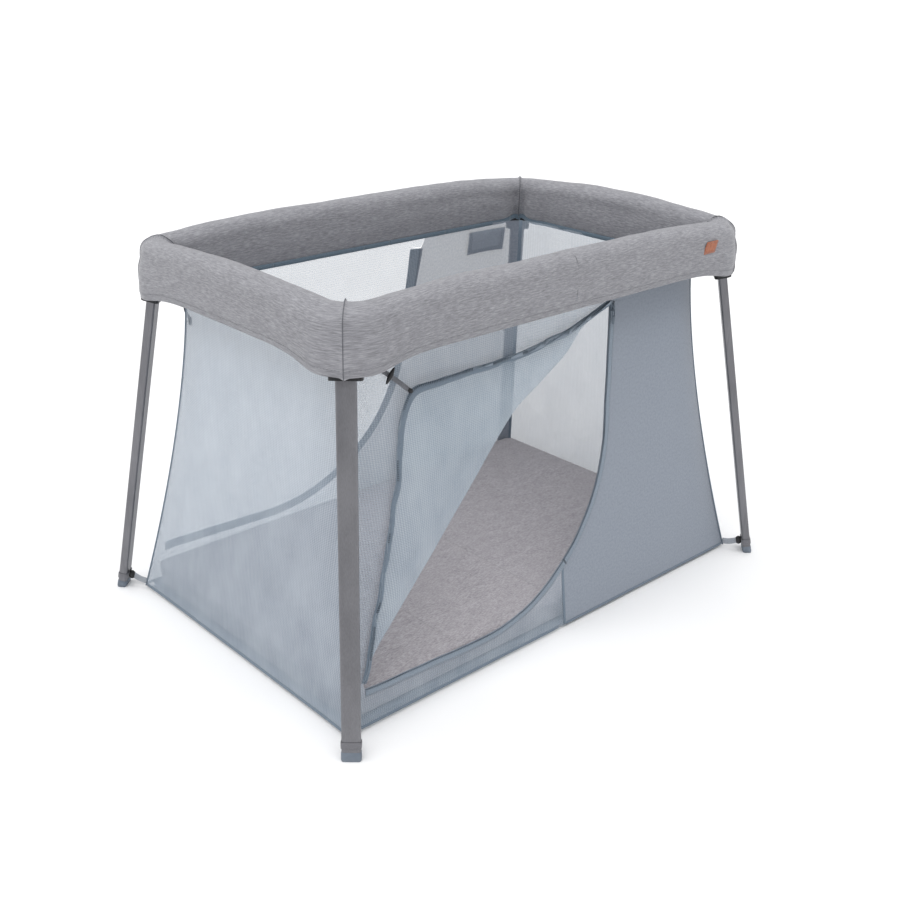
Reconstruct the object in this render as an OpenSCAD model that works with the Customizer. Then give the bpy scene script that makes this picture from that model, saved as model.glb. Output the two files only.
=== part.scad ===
// Folding travel playpen: splayed legs, padded top rail, mesh tub with zipped side doors, folding mattress.
// X runs along the long side, Y from front to rear, Z up. The origin is on the ground under the middle.

/* [Overall] */
// Distance between the feet along the long side
foot_length = 1010; // [900:1:1150]
// Distance between the feet along the short side
foot_width = 694; // [620:1:780]
// Height of the padded top edge
overall_h = 652; // [600:1:760]

/* [Padded rail cover] */
// Outside length of the padded rail
cover_length = 904; // [820:1:1000]
// Outside width of the padded rail
cover_width = 568; // [520:1:640]
// Outside corner radius of the padded rail in plan
cover_corner_r = 70; // [62:1:90]
// Thickness of the padded rail, from outside to inside
cover_thickness = 52; // [48:1:60]
// Height of the padded rail's side
cover_depth = 92; // [84:1:110]
// Thickness of the foam and cloth on each side
padding = 10; // [7:0.5:11]

/* [Rails] */
// Height of the rail tubes above the ground, measured down from the top edge
rail_drop = 52; // [48:1:60]
// Rail tube diameter
rail_d = 24; // [20:0.5:25]
// Rail tube wall
rail_wall = 1.2; // [1:0.1:2]
// Distance from the middle of the corner hub to the rail's pivot
hub_pivot_offset = 61; // [58:1:75]
// Distance between the two pivots of the middle link
mid_pivot_gap = 120; // [110:1:150]
// Height of the flattened tongue at a rail's end
tongue_h = 22; // [18:1:22]
// Thickness of the flattened tongue at a rail's end
tongue_t = 14.4; // [10:0.2:15]
// Diameter of the pivot pins
pin_d = 8; // [6:0.5:10]

/* [Legs] */
// Leg tube width, across the outward diagonal
leg_w = 29; // [26:0.5:34]
// Leg tube thickness
leg_t = 15; // [12:0.5:17]
// Leg tube wall
leg_wall = 1.4; // [1:0.1:2]
// Height of a foot cap along the leg
foot_cap_h = 24; // [18:1:32]

/* [Tub] */
// Length of the tub at the ground
tub_length = 960; // [860:1:1090]
// Width of the tub at the ground
tub_width = 610; // [540:1:690]
// Length of the long walls' top edge
wall_top_length = 720; // [640:1:790]
// Width of the end walls' top edge
wall_top_width = 372; // [320:1:420]
// How the corner seams curve in: 1 is straight
corner_curve = 1.4; // [1:0.05:1.8]
// Thickness of the mesh solids
mesh_t = 2.4; // [1.6:0.1:3]
// Thickness of the floor panel
floor_t = 10; // [6:0.5:12]

/* [Doors] */
// Upper end of the door zipper, along the wall from the middle
zip_top_x = 138; // [100:1:180]
// Height of the upper end of the door zipper
zip_top_z = 542; // [500:1:548]
// Lower end of the door zipper, along the wall from the middle
zip_end_x = -437; // [-445:1:-400]
// Height of the lower end of the door zipper
zip_end_z = 68; // [60:1:90]
// Point where the zipper's two straight stretches would meet, along the wall
zip_corner_x = 92; // [70:1:100]
// Height of that point
zip_corner_z = 50; // [40:1:58]
// Radius of the zipper's bend
zip_r = 310; // [240:5:330]
// Upper end of the line that the door folds back along, from the middle of the wall
fold_top_x = 112; // [90:1:130]
// Height of the fold line's upper end
fold_top_z = 550; // [545:1:552]
// Lower end of the fold line, from the middle of the wall
fold_end_x = -440; // [-450:1:-425]
// Height of the fold line's lower end
fold_end_z = 96; // [80:1:110]
// Width of the zipper tape
tape_w = 12; // [8:1:16]

/* [Mattress] */
// Mattress length
mattress_length = 930; // [830:1:940]
// Mattress width
mattress_width = 584; // [520:1:590]
// Mattress thickness
mattress_t = 42.5; // [30:0.5:43]
// Number of millimetres that the mattress corners are rounded by
mattress_corner_r = 30; // [20:1:40]

/* [Hidden] */
$fn = 64;
running_clearance = 0.05;   // radial, pin to bore
slide_clearance = 0.3;      // between pieces that slide or slip in
soft_gap = 0.6;             // between soft neighbours
seam_x = 8;                 // seam between the light and the dense wall cloth
cap_wall = 2;               // foot cap's wall
tag_size = [30, 1.2, 19];   // blank leather tag
floor_z = 2;                // underside of the floor panel
door_gap = 0.6;             // between the wall's outer face and the open door
door_below_cover = 3;       // the open door stays this far under the cover
corner_gap = 3;             // between a corner panel and the walls beside it
corner_from = 75;           // height where the corner panels start, above the walls' lower edge
pocket_size = [92, 44];     // pocket flap inside the rear wall
pocket_x = 262;
pocket_drop = 48;           // underside of the pocket flap, below the cover
zip_slider_size = [9, 14, 4];
zip_pull_size = [7, 26, 1.6];
tie_w = 8;
tie_t = 1.6;
tie_hang_l = 84;            // the rear strap hangs down by this much
toggle_at = 28;             // along the front strap
strap_at = foot_cap_h + 4;  // the strap loop's place along the leg
strap_w = 16;
strap_t = 1.6;
strap_gap = 0.4;
strap_tab_l = 21;
hook_size = [12, 9, 20];
hook_x = -leg_t / 2 - strap_t - 2 * strap_gap - hook_size[0];

rail_z = overall_h - rail_drop;
cover_z = overall_h - cover_depth;
cavity_w = cover_thickness - 2 * padding;
rail_y = cover_width / 2 - cover_thickness / 2;
rail_x = cover_length / 2 - cover_thickness / 2;
bend_r = cover_corner_r - cover_thickness / 2;
bend_x = cover_length / 2 - cover_corner_r;
bend_y = cover_width / 2 - cover_corner_r;
hub_x = bend_x + bend_r * cos(45);
hub_y = bend_y + bend_r * sin(45);
pivot_x = hub_x - hub_pivot_offset;
mid_x = mid_pivot_gap / 2;
arm_end_x = pivot_x + 10;   // where the end cover gives way to the side cover

// a leg runs from the hub's middle, at rail height, to the foot
leg_run = [foot_length / 2 - hub_x, foot_width / 2 - hub_y];
leg_azimuth = atan2(leg_run[1], leg_run[0]);
leg_lean = atan(norm(leg_run) / rail_z);
leg_axis_l = rail_z / cos(leg_lean);
leg_from = 8;
socket_l = 46;
leg_to = leg_axis_l - 12;
collar = [29, 47, 6];
socket_body = [25, 43];
hub_h = 40;
hub_w = 26;
ear_t = 5.6;
ear_h = 34;
ear_reach = 15;
tongue_l = 30;
plug_l = 16;
link_h = 36;
link_w = 27;
link_overhang = 21;
link_floor = 4;
button_r = 9;
button_h = 14;
button_proud = 6;

// tub walls: each is flat and leans, with curved side edges
wall_top_z = cover_z - 2;
wall_z = 5;
wall_h = wall_top_z - wall_z;
side_top_y = cover_width / 2 - cover_thickness;
side_foot_y = tub_width / 2;
end_top_x = cover_length / 2 - cover_thickness - 2;
end_foot_x = tub_length / 2 - 2;
side_tilt = atan((side_foot_y - side_top_y) / wall_h);
end_tilt = atan((end_foot_x - end_top_x) / wall_h);
edge_steps = 14;
heights = [for (i = [0:edge_steps]) wall_z + wall_h * i / edge_steps];

function drop(z) = (wall_top_z - z) / wall_h;
function flare(z) = pow(drop(z), corner_curve);
function long_edge(z) = wall_top_length / 2 + (tub_length - wall_top_length) / 2 * flare(z);
function end_edge(z) = wall_top_width / 2 + (tub_width - wall_top_width) / 2 * flare(z);
function side_y(z) = side_top_y + (side_foot_y - side_top_y) * drop(z);
function end_x(z) = end_top_x + (end_foot_x - end_top_x) * drop(z);
// height above the ground to distance up a leaning wall
function up(z, tilt) = (z - wall_z) / cos(tilt);

// door zipper, in wall coordinates, moved out by d
zip_top = [zip_top_x, up(zip_top_z, side_tilt)];
zip_corner = [zip_corner_x, up(zip_corner_z, side_tilt)];
zip_end = [zip_end_x, up(zip_end_z, side_tilt)];
zip_in = (zip_top - zip_corner) / norm(zip_top - zip_corner);
zip_out = (zip_end - zip_corner) / norm(zip_end - zip_corner);
zip_half = acos(zip_in * zip_out) / 2;
zip_bisector = (zip_in + zip_out) / norm(zip_in + zip_out);
zip_centre = zip_corner + zip_bisector * zip_r / sin(zip_half);
zip_start_a = atan2(zip_corner[1] - zip_centre[1], zip_corner[0] - zip_centre[0]) + (90 - zip_half);
bend_steps = 16;

// the door's fourth side is the line that it folds back along
fold_top = [fold_top_x, up(fold_top_z, side_tilt)];
fold_end = [fold_end_x, up(fold_end_z, side_tilt)];
hinge_dir = (fold_end - fold_top) / norm(fold_end - fold_top);
fold_out = [hinge_dir[1], -hinge_dir[0]];
function beside(p, q, d) = let (t = (q - p) / norm(q - p)) [-t[1], t[0]] * d;
function zip_curve(d) = concat(
    [zip_top + beside(zip_top, zip_corner, d)],
    [for (i = [0:bend_steps])
        let (a = zip_start_a - i * (180 - 2 * zip_half) / bend_steps)
        zip_centre + (zip_r + d) * [cos(a), sin(a)]],
    [zip_end + beside(zip_corner, zip_end, d)]);
function across(p) = let (v = p - fold_top, t = v * hinge_dir) fold_top + 2 * t * hinge_dir - v;
function reversed(list) = [for (i = [len(list) - 1:-1:0]) list[i]];

// mattress
mattress_z = floor_z + floor_t + 2.5;
panel_l = mattress_length / 4;

// ---- helpers ----

module rounded_rect(w, h, r) {
    square([w - 2 * r, h], center = true);
    square([w, h - 2 * r], center = true);
    for (x = [-1, 1], y = [-1, 1]) translate([x * (w / 2 - r), y * (h / 2 - r)]) circle(r);
}

// everything at a corner is drawn for the rear right one and mirrored to the others
module at_corner(x, y) {
    mirror([x < 0 ? 1 : 0, 0, 0]) mirror([0, y < 0 ? 1 : 0, 0]) children();
}

// stands children up along the rear right leg, from the foot's centre on the ground
module along_leg(from = 0) {
    translate([foot_length / 2, foot_width / 2, 0])
        rotate([0, 0, leg_azimuth]) rotate([0, -leg_lean, 0]) translate([0, 0, from]) children();
}

// wall coordinates: x along the wall, y up the wall, z outwards from its inner face
module on_front_wall(out = 0) {
    translate([0, -side_foot_y, wall_z]) rotate([90 - side_tilt, 0, 0]) translate([0, 0, out]) children();
}
module on_rear_wall(out = 0) { mirror([0, 1, 0]) on_front_wall(out) children(); }
module on_right_wall(out = 0) {
    translate([end_foot_x, 0, wall_z]) rotate([0, 0, 90]) rotate([90 - end_tilt, 0, 0])
        translate([0, 0, out]) children();
}

module pin_bore(x, y, z, r, l) {
    translate([x, y, z]) rotate([90, 0, 0]) cylinder(h = l, r = r, center = true);
}

// ---- legs, feet and hubs ----

module leg() {
    color("darkgray") along_leg(leg_from) linear_extrude(leg_to - leg_from) difference() {
        rounded_rect(leg_t, leg_w, 4);
        rounded_rect(leg_t - 2 * leg_wall, leg_w - 2 * leg_wall, 4 - leg_wall);
    }
}

module foot_cap() {
    color("slategray") difference() {
        along_leg(-20) linear_extrude(foot_cap_h + 20)
            rounded_rect(leg_t + 2 * cap_wall, leg_w + 2 * cap_wall, 5);
        along_leg(leg_from - 0.1) linear_extrude(foot_cap_h) rounded_rect(leg_t + 0.2, leg_w + 0.2, 4.1);
        translate([foot_length / 2, foot_width / 2, -50]) cube([200, 200, 100], center = true);
    }
}

// leg socket with its collar, drawn solid; grow leaves room around it
module socket_solid(grow = 0) {
    along_leg(leg_to - socket_l) {
        linear_extrude(socket_l) rounded_rect(socket_body[0] + 2 * grow, socket_body[1] + 2 * grow, 6);
        linear_extrude(collar[2]) rounded_rect(collar[0] + 2 * grow, collar[1] + 2 * grow, 7);
    }
}

module hub() {
    color([0.12, 0.12, 0.13]) difference() {
        union() {
            translate([bend_x, bend_y, rail_z - hub_h / 2]) rotate_extrude(angle = 90)
                translate([bend_r - hub_w / 2, 0]) square([hub_w, hub_h]);
            translate([rail_x - hub_w / 2, bend_y - socket_l, rail_z - ear_h / 2])
                cube([hub_w, socket_l + 1, ear_h]);
            for (side = [-1, 1])
                translate([pivot_x - ear_reach, rail_y + side * (tongue_t + ear_t + 0.8) / 2 - ear_t / 2,
                           rail_z - ear_h / 2])
                    cube([bend_x - pivot_x + ear_reach + 1, ear_t, ear_h]);
            intersection() {
                socket_solid();
                translate([0, 0, rail_z - 100]) cube([1000, 1000, 100 + hub_h / 2 - 2]);
            }
        }
        along_leg(leg_to - 2 * socket_l) linear_extrude(2 * socket_l + 0.2)
            rounded_rect(leg_t + 0.2, leg_w + 0.2, 4.1);
        translate([rail_x, bend_y - socket_l / 2 - 4, rail_z]) rotate([90, 0, 0])
            cylinder(h = socket_l, r = rail_d / 2 + 0.1, center = true);
        pin_bore(pivot_x, rail_y, rail_z, pin_d / 2, 2 * link_w);
    }
}

module hub_pin() {
    color("silver") pin_bore(pivot_x, rail_y, rail_z, pin_d / 2, link_w);
}

// ---- rails ----

module end_rail() {
    color("darkgray") translate([rail_x, 0, rail_z]) rotate([90, 0, 0]) difference() {
        cylinder(h = 2 * (bend_y - 4), r = rail_d / 2, center = true);
        cylinder(h = 2 * bend_y, r = rail_d / 2 - rail_wall, center = true);
    }
}

// half of a long rail: a tube with a flattened, drilled tongue at each end
module half_rail() {
    color("darkgray") difference() {
        union() {
            translate([mid_x + tongue_l, rail_y, rail_z]) rotate([0, 90, 0])
                difference() {
                    cylinder(h = pivot_x - mid_x - 2 * tongue_l, r = rail_d / 2);
                    translate([0, 0, plug_l])
                        cylinder(h = pivot_x - mid_x - 2 * tongue_l - 2 * plug_l, r = rail_d / 2 - rail_wall);
                }
            for (x = [mid_x, pivot_x - tongue_l - 1])
                translate([x, rail_y - tongue_t / 2, rail_z - tongue_h / 2])
                    cube([tongue_l + 1, tongue_t, tongue_h]);
            for (x = [mid_x, pivot_x]) pin_bore(x, rail_y, rail_z, tongue_h / 2, tongue_t);
        }
        for (x = [mid_x, pivot_x]) pin_bore(x, rail_y, rail_z, pin_d / 2 + running_clearance, 2 * tongue_t);
    }
}

module mid_link() {
    slot_x = mid_x - tongue_h / 2 - 1.5;
    color([0.12, 0.12, 0.13]) difference() {
        translate([-mid_x - link_overhang, rail_y - link_w / 2, rail_z - link_h / 2 + 2])
            cube([mid_pivot_gap + 2 * link_overhang, link_w, link_h]);
        for (x = [0, 1]) mirror([x, 0, 0])
            translate([slot_x, rail_y - tongue_t / 2 - 0.4, rail_z - link_h / 2 + 2 + link_floor])
                cube([link_overhang + tongue_h + 10, tongue_t + 0.8, link_h]);
        for (x = [-mid_x, mid_x]) pin_bore(x, rail_y, rail_z, pin_d / 2, 2 * link_w);
        translate([0, rail_y, rail_z - link_h / 2 + 1])
            cylinder(h = button_h + 1, r = button_r + slide_clearance);
    }
}

module mid_pins() {
    color("silver") for (x = [-mid_x, mid_x]) pin_bore(x, rail_y, rail_z, pin_d / 2, link_w);
}

module lock_button() {
    color("slategray") translate([0, rail_y, rail_z - link_h / 2 + 2 - button_proud])
        cylinder(h = button_h, r = button_r);
}

// ---- padded covers ----

// section of the cover, upright, with its middle on the rail: round top, open underneath
module cover_section() {
    difference() {
        union() {
            translate([0, overall_h - cover_thickness / 2]) circle(cover_thickness / 2);
            translate([-cover_thickness / 2, cover_z])
                square([cover_thickness, cover_depth - cover_thickness / 2]);
        }
        translate([0, overall_h - cover_thickness / 2 - padding]) circle(cavity_w / 2);
        translate([-cavity_w / 2, cover_z - 1])
            square([cavity_w, cover_depth - cover_thickness / 2 - padding + 1]);
    }
}

module end_cover() {
    color("darkgrey") difference() {
        union() {
            translate([rail_x, bend_y, 0]) rotate([90, 0, 0]) linear_extrude(2 * bend_y) cover_section();
            for (y = [0, 1]) mirror([0, y, 0]) {
                translate([bend_x, bend_y, 0])
                    rotate_extrude(angle = 90)
                        translate([bend_r, 0]) cover_section();
                translate([arm_end_x, rail_y, 0]) rotate([90, 0, 90])
                    linear_extrude(bend_x - arm_end_x) cover_section();
            }
        }
        for (y = [0, 1]) mirror([0, y, 0]) socket_solid(0.5);
    }
}

module side_cover() {
    color("darkgrey") translate([soft_gap / 2, rail_y, 0]) rotate([90, 0, 90])
        linear_extrude(arm_end_x - soft_gap * 1.5) cover_section();
}

module label_tag() {
    color("peru") translate([pivot_x - 20 - tag_size[0] / 2, -cover_width / 2 - tag_size[1] - 0.3,
                             rail_z + 1])
        cube(tag_size);
}

// ---- tub ----

module wall_outline(edge) {
    tilt = edge == "long" ? side_tilt : end_tilt;
    right = [for (z = heights) [edge == "long" ? long_edge(z) : end_edge(z), up(z, tilt)]];
    polygon(concat(right, reversed([for (p = right) [-p[0], p[1]]])));
}

// the doorway is wider than the door by a gap all round
module doorway_outline() {
    polygon(concat(zip_curve(soft_gap), [fold_end + fold_out * soft_gap, fold_top + fold_out * soft_gap]));
}
door_points = concat(zip_curve(-soft_gap), [fold_end, fold_top]);

// the light mesh: everything left of the seam or above the door's fold line
module light_side() {
    big = 2000;
    translate([-big + seam_x, -big / 2]) square([big, big]);
    polygon([zip_top, fold_top, fold_end, [fold_end[0], big], [zip_top[0], big]]);
}

module long_wall(light) {
    linear_extrude(mesh_t) difference() {
        if (light) intersection() { wall_outline("long"); light_side(); }
        else difference() { wall_outline("long"); widened() light_side(); }
        doorway_outline();
    }
}
module widened() {
    children();
    translate([soft_gap, 0]) children();
}

module end_wall() {
    color("lightsteelblue") on_right_wall() linear_extrude(mesh_t) wall_outline("end");
}

// panel between a long wall's edge and an end wall's edge, drawn for the rear right corner
module corner_panel() {
    rings = [for (z = heights) if (z > wall_z + corner_from)
        let (a = [long_edge(z), side_y(z) + mesh_t], b = [end_x(z) + mesh_t, end_edge(z)],
             inset = corner_gap * (b - a) / norm(b - a),
             p = a + inset, q = b - inset, back = [mesh_t, mesh_t] * cos(45))
        [[p[0], p[1], z], [q[0], q[1], z],
         [q[0] - back[0], q[1] - back[1], z], [p[0] - back[0], p[1] - back[1], z]]];
    n = len(rings);
    points = [for (ring = rings) for (p = ring) p];
    sides = [for (i = [0:n - 2]) for (j = [0:3])
        for (tri = [[4 * i + j, 4 * i + 4 + j, 4 * i + (j + 1) % 4],
                    [4 * i + (j + 1) % 4, 4 * i + 4 + j, 4 * i + 4 + (j + 1) % 4]]) tri];
    ends = [[0, 1, 2], [0, 2, 3], [4 * n - 4, 4 * n - 2, 4 * n - 3], [4 * n - 4, 4 * n - 1, 4 * n - 2]];
    color("lightsteelblue") polyhedron(points, concat(sides, ends));
}

module floor_panel() {
    color("lightslategray") translate([0, 0, floor_z]) linear_extrude(floor_t)
        rounded_rect(tub_length - 16, tub_width - 12, 12);
}

module pocket_flap() {
    color("slategray") on_rear_wall(-mesh_t - soft_gap * 2)
        translate([pocket_x, up(cover_z - pocket_drop, side_tilt)])
            linear_extrude(mesh_t) square(pocket_size);
}

// ---- doors ----

// the door folded back flat on the outside of the wall, with its top tucked in under the cover
module open_door() {
    color("lightsteelblue") linear_extrude(mesh_t) intersection() {
        polygon([for (p = door_points) across(p)]);
        translate([-tub_length, 0]) square([2 * tub_length, up(cover_z - door_below_cover, side_tilt)]);
    }
}
module closed_door() {
    color("lightsteelblue") linear_extrude(mesh_t) polygon(door_points);
}

module zip_tape() {
    color("slategray") linear_extrude(1)
        polygon(concat(zip_curve(2 * soft_gap), reversed(zip_curve(tape_w))));
}

module zip_slider() {
    color("dimgray") translate([zip_top[0] + 1.5, zip_top[1] - zip_slider_size[1], 0])
        linear_extrude(zip_slider_size[2]) translate([zip_slider_size[0] / 2, zip_slider_size[1] / 2])
            rounded_rect(zip_slider_size[0], zip_slider_size[1], 3);
}

module zip_pull() {
    color("dimgray") translate([zip_top[0] + 2.5, zip_top[1] - zip_slider_size[1] / 2 - zip_pull_size[1]])
        linear_extrude(zip_pull_size[2]) difference() {
            translate([zip_pull_size[0] / 2, zip_pull_size[1] / 2])
                rounded_rect(zip_pull_size[0], zip_pull_size[1], 3);
            translate([zip_pull_size[0] / 2, 5]) circle(1.6);
        }
}

// ---- tie straps ----

tie_top = [-374, up(wall_top_z - 6, side_tilt)];
tie_end = [-306, up(500, side_tilt)];
tie_dir = (tie_end - tie_top) / norm(tie_end - tie_top);
module along_tie() {
    translate(concat(tie_top, 0)) rotate([0, 0, atan2(tie_dir[1], tie_dir[0])]) children();
}

module tie_strap() {
    color("gray") {
        translate([0, -tie_w / 2, 0]) cube([norm(tie_end - tie_top), tie_w, tie_t]);
        translate([norm(tie_end - tie_top) + 3, 0, 0]) cylinder(h = 5, r = 4);
    }
}

module hanging_tie() {
    color("gray") translate([tie_top[0], tie_top[1] - tie_hang_l]) {
        translate([-tie_w / 2, 0, 0]) cube([tie_w, tie_hang_l, tie_t]);
        translate([0, -3, 0]) cylinder(h = 5, r = 4);
    }
}

module tie_toggle() {
    color([0.12, 0.12, 0.13]) along_tie() translate([toggle_at, 0, -1.4]) difference() {
        linear_extrude(tie_t + 3) intersection() {
            translate([26, 0]) circle(31);
            translate([-26, 0]) circle(31);
        }
        translate([-20, -tie_w / 2 - 0.4, 1]) cube([40, tie_w + 0.8, tie_t + 0.8]);
    }
}

// ---- straps from the tub's corners to the feet ----

module strap_loop() {
    color("gray") along_leg(strap_at) linear_extrude(strap_w) difference() {
        rounded_rect(leg_t + 2 * (strap_t + strap_gap), leg_w + 2 * (strap_t + strap_gap), 6);
        rounded_rect(leg_t + 2 * strap_gap, leg_w + 2 * strap_gap, 4.4);
    }
}

// the short tab between the loop and the tub's corner
module strap_tab() {
    color("gray") along_leg(strap_at + 1)
        translate([hook_x - strap_gap - strap_tab_l, -strap_t / 2, 0])
            cube([strap_tab_l, strap_t, strap_w - 2]);
}

module floor_strap() {
    strap_loop();
    strap_tab();
}

module strap_hook() {
    color([0.12, 0.12, 0.13]) along_leg(strap_at - 2)
        translate([hook_x, -hook_size[1] / 2, 0]) cube(hook_size);
}

// ---- mattress ----

module mattress_panel(i) {
    color("darkgrey") translate([0, 0, mattress_z]) linear_extrude(mattress_t) intersection() {
        rounded_rect(mattress_length, mattress_width, mattress_corner_r);
        translate([-mattress_length / 2 + (i - 1) * panel_l + (i > 1 ? soft_gap / 2 : 0), -mattress_width])
            square([panel_l - (i > 1 ? soft_gap / 2 : 0) - (i < 4 ? soft_gap / 2 : 0), 2 * mattress_width]);
    }
}

// ---- nodes ----

at_corner(-1, -1) leg();  // leg_front_left
at_corner(-1, 1) leg();  // leg_rear_left
at_corner(1, -1) leg();  // leg_front_right
at_corner(1, 1) leg();  // leg_rear_right
for (y = [-1, 1]) at_corner(-1, y) foot_cap();  // foot_caps_left
for (y = [-1, 1]) at_corner(1, y) foot_cap();  // foot_caps_right
at_corner(-1, -1) hub();  // hub_front_left
at_corner(-1, 1) hub();  // hub_rear_left
at_corner(1, -1) hub();  // hub_front_right
at_corner(1, 1) hub();  // hub_rear_right
for (y = [-1, 1]) at_corner(-1, y) hub_pin();  // hub_pins_left
for (y = [-1, 1]) at_corner(1, y) hub_pin();  // hub_pins_right
at_corner(-1, 1) end_rail();  // end_rail_left
end_rail();  // end_rail_right
at_corner(-1, -1) half_rail();  // front_rail_left
at_corner(1, -1) half_rail();  // front_rail_right
at_corner(-1, 1) half_rail();  // rear_rail_left
at_corner(1, 1) half_rail();  // rear_rail_right
at_corner(1, -1) mid_link();  // front_mid_link
mid_link();  // rear_mid_link
at_corner(1, -1) mid_pins();  // front_mid_pins
mid_pins();  // rear_mid_pins
at_corner(1, -1) lock_button();  // front_lock_button
lock_button();  // rear_lock_button
at_corner(-1, 1) end_cover();  // cover_left_end
end_cover();  // cover_right_end
at_corner(-1, -1) side_cover();  // cover_front_left
at_corner(1, -1) side_cover();  // cover_front_right
at_corner(-1, 1) side_cover();  // cover_rear_left
at_corner(1, 1) side_cover();  // cover_rear_right
label_tag();
at_corner(-1, 1) end_wall();  // wall_left
end_wall();  // wall_right
color("lightsteelblue") on_front_wall() long_wall(true);  // front_wall_left
color("lightslategray") on_front_wall() long_wall(false);  // front_wall_right
color("lightsteelblue") on_rear_wall() long_wall(true);  // rear_wall_left
color("lightslategray") on_rear_wall() long_wall(false);  // rear_wall_right
for (y = [-1, 1]) at_corner(-1, y) corner_panel();  // corner_panels_left
for (y = [-1, 1]) at_corner(1, y) corner_panel();  // corner_panels_right
floor_panel();
pocket_flap();
on_front_wall(mesh_t + door_gap) open_door();  // front_door
on_rear_wall() closed_door();  // rear_door
on_front_wall(mesh_t + 0.2) zip_tape();  // front_zip_tape
on_rear_wall(mesh_t + 0.2) zip_tape();  // rear_zip_tape
on_front_wall(mesh_t + 1.4) zip_slider();  // front_zip_slider
on_front_wall(mesh_t + 5.8) zip_pull();  // front_zip_pull
on_rear_wall(mesh_t + 1.4) zip_slider();  // rear_zip_slider
on_rear_wall(mesh_t + 5.8) zip_pull();  // rear_zip_pull
on_front_wall(2 * mesh_t + 3) along_tie() tie_strap();  // front_tie_strap
on_rear_wall(mesh_t + 1) hanging_tie();  // rear_tie_strap
on_front_wall(2 * mesh_t + 3) tie_toggle();  // front_tie_toggle
for (y = [-1, 1]) at_corner(-1, y) floor_strap();  // floor_straps_left
for (y = [-1, 1]) at_corner(1, y) floor_strap();  // floor_straps_right
for (y = [-1, 1]) at_corner(-1, y) strap_hook();  // strap_hooks_left
for (y = [-1, 1]) at_corner(1, y) strap_hook();  // strap_hooks_right
mattress_panel(1);  // mattress_panel_1
mattress_panel(2);  // mattress_panel_2
mattress_panel(3);  // mattress_panel_3
mattress_panel(4);  // mattress_panel_4
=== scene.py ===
import math

import bmesh
import bpy
from mathutils import Matrix, Vector, noise
from mathutils.geometry import delaunay_2d_cdt


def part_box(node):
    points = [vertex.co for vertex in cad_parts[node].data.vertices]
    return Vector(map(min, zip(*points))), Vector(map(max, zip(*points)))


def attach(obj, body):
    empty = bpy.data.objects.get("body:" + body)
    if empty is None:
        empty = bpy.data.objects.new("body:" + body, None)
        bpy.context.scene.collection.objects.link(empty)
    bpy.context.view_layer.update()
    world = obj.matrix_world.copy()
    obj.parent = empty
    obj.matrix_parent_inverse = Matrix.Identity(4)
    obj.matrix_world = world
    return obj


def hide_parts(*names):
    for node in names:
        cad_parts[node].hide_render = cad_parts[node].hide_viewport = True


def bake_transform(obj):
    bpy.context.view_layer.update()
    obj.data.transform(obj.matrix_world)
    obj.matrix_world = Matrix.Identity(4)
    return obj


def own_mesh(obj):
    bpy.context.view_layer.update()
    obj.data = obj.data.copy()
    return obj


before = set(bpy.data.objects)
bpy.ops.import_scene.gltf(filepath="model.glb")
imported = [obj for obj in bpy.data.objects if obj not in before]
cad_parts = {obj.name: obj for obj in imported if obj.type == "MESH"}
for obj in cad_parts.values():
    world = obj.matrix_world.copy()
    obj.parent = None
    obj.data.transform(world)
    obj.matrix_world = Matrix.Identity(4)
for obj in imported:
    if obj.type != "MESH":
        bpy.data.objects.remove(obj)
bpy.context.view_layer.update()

# ---- sizes, in metres, and directions ----

FRONT, REAR, LEFT, RIGHT = -1, 1, -1, 1

cover_low, cover_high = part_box("cover_left_end")
COVER_X, COVER_Y = -cover_low.x, cover_high.y    # outside half length and half width of the padded rail
COVER_TOP = cover_high.z
COVER_THICK = 0.052
COVER_CORNER_R = 0.070
OUTER_FOOT = 0.5652                              # outer hem in the middle of a side
INNER_FOOT = 0.5665                              # inner edge
CORNER_DROOP, DROOP_REACH = 0.0150, 0.066        # the hem comes down to the collar at each corner
CROWN = 0.0095                                   # the top rises between the corners
CORNER_TOP = COVER_TOP - 0.011
CORNER_LEAN = 0.012                              # the outside leans in towards the top at each corner
LEAN_REACH, LEAN_LEVEL = 0.08, 0.40              # along the rail, and the share of the height that stays put

RAIL_X, RAIL_Y = COVER_X - COVER_THICK / 2, COVER_Y - COVER_THICK / 2
STRAIGHT_X, STRAIGHT_Y = COVER_X - COVER_CORNER_R, COVER_Y - COVER_CORNER_R
BEND_R = COVER_CORNER_R - COVER_THICK / 2
BEND_L = BEND_R * math.pi / 2
HUB_BEND_X, HALF_SPLIT_X, LINK_BEND_X, LINK_PIVOT_X = 0.27, 0.20, 0.12, 0.06

WALL_TOP, WALL_FOOT = 0.566, 0.005
TILT_TOP = cover_low.z - 0.002                   # height that the walls' lean is measured from
SIDE_TOP_Y, SIDE_FOOT_Y = 0.232, 0.305
END_TOP_X, END_FOOT_X = 0.398, 0.478
SEAM_TOP, SEAM_FOOT = (0.386, 0.210), (0.480, 0.305)
CORNER_CURVE = 1.4
CORNER_BEND = 0.075                              # the walls curve in to the corner seam over this length
SIDE_TILT = math.atan((SIDE_FOOT_Y - SIDE_TOP_Y) / (TILT_TOP - WALL_FOOT))
END_TILT = math.atan((END_FOOT_X - END_TOP_X) / (TILT_TOP - WALL_FOOT))
CLOTH_OUT = 0.0012                               # the wall cloth's place in the CAD wall's thickness
PANEL_SEAM_X = 0.008                             # seam between the light mesh and the dense cloth
DENSE_TOP_X = 0.150

ZIP_TOP, ZIP_CORNER, ZIP_END, ZIP_R = (0.138, 0.542), (0.092, 0.050), (-0.437, 0.068), 0.310
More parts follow.
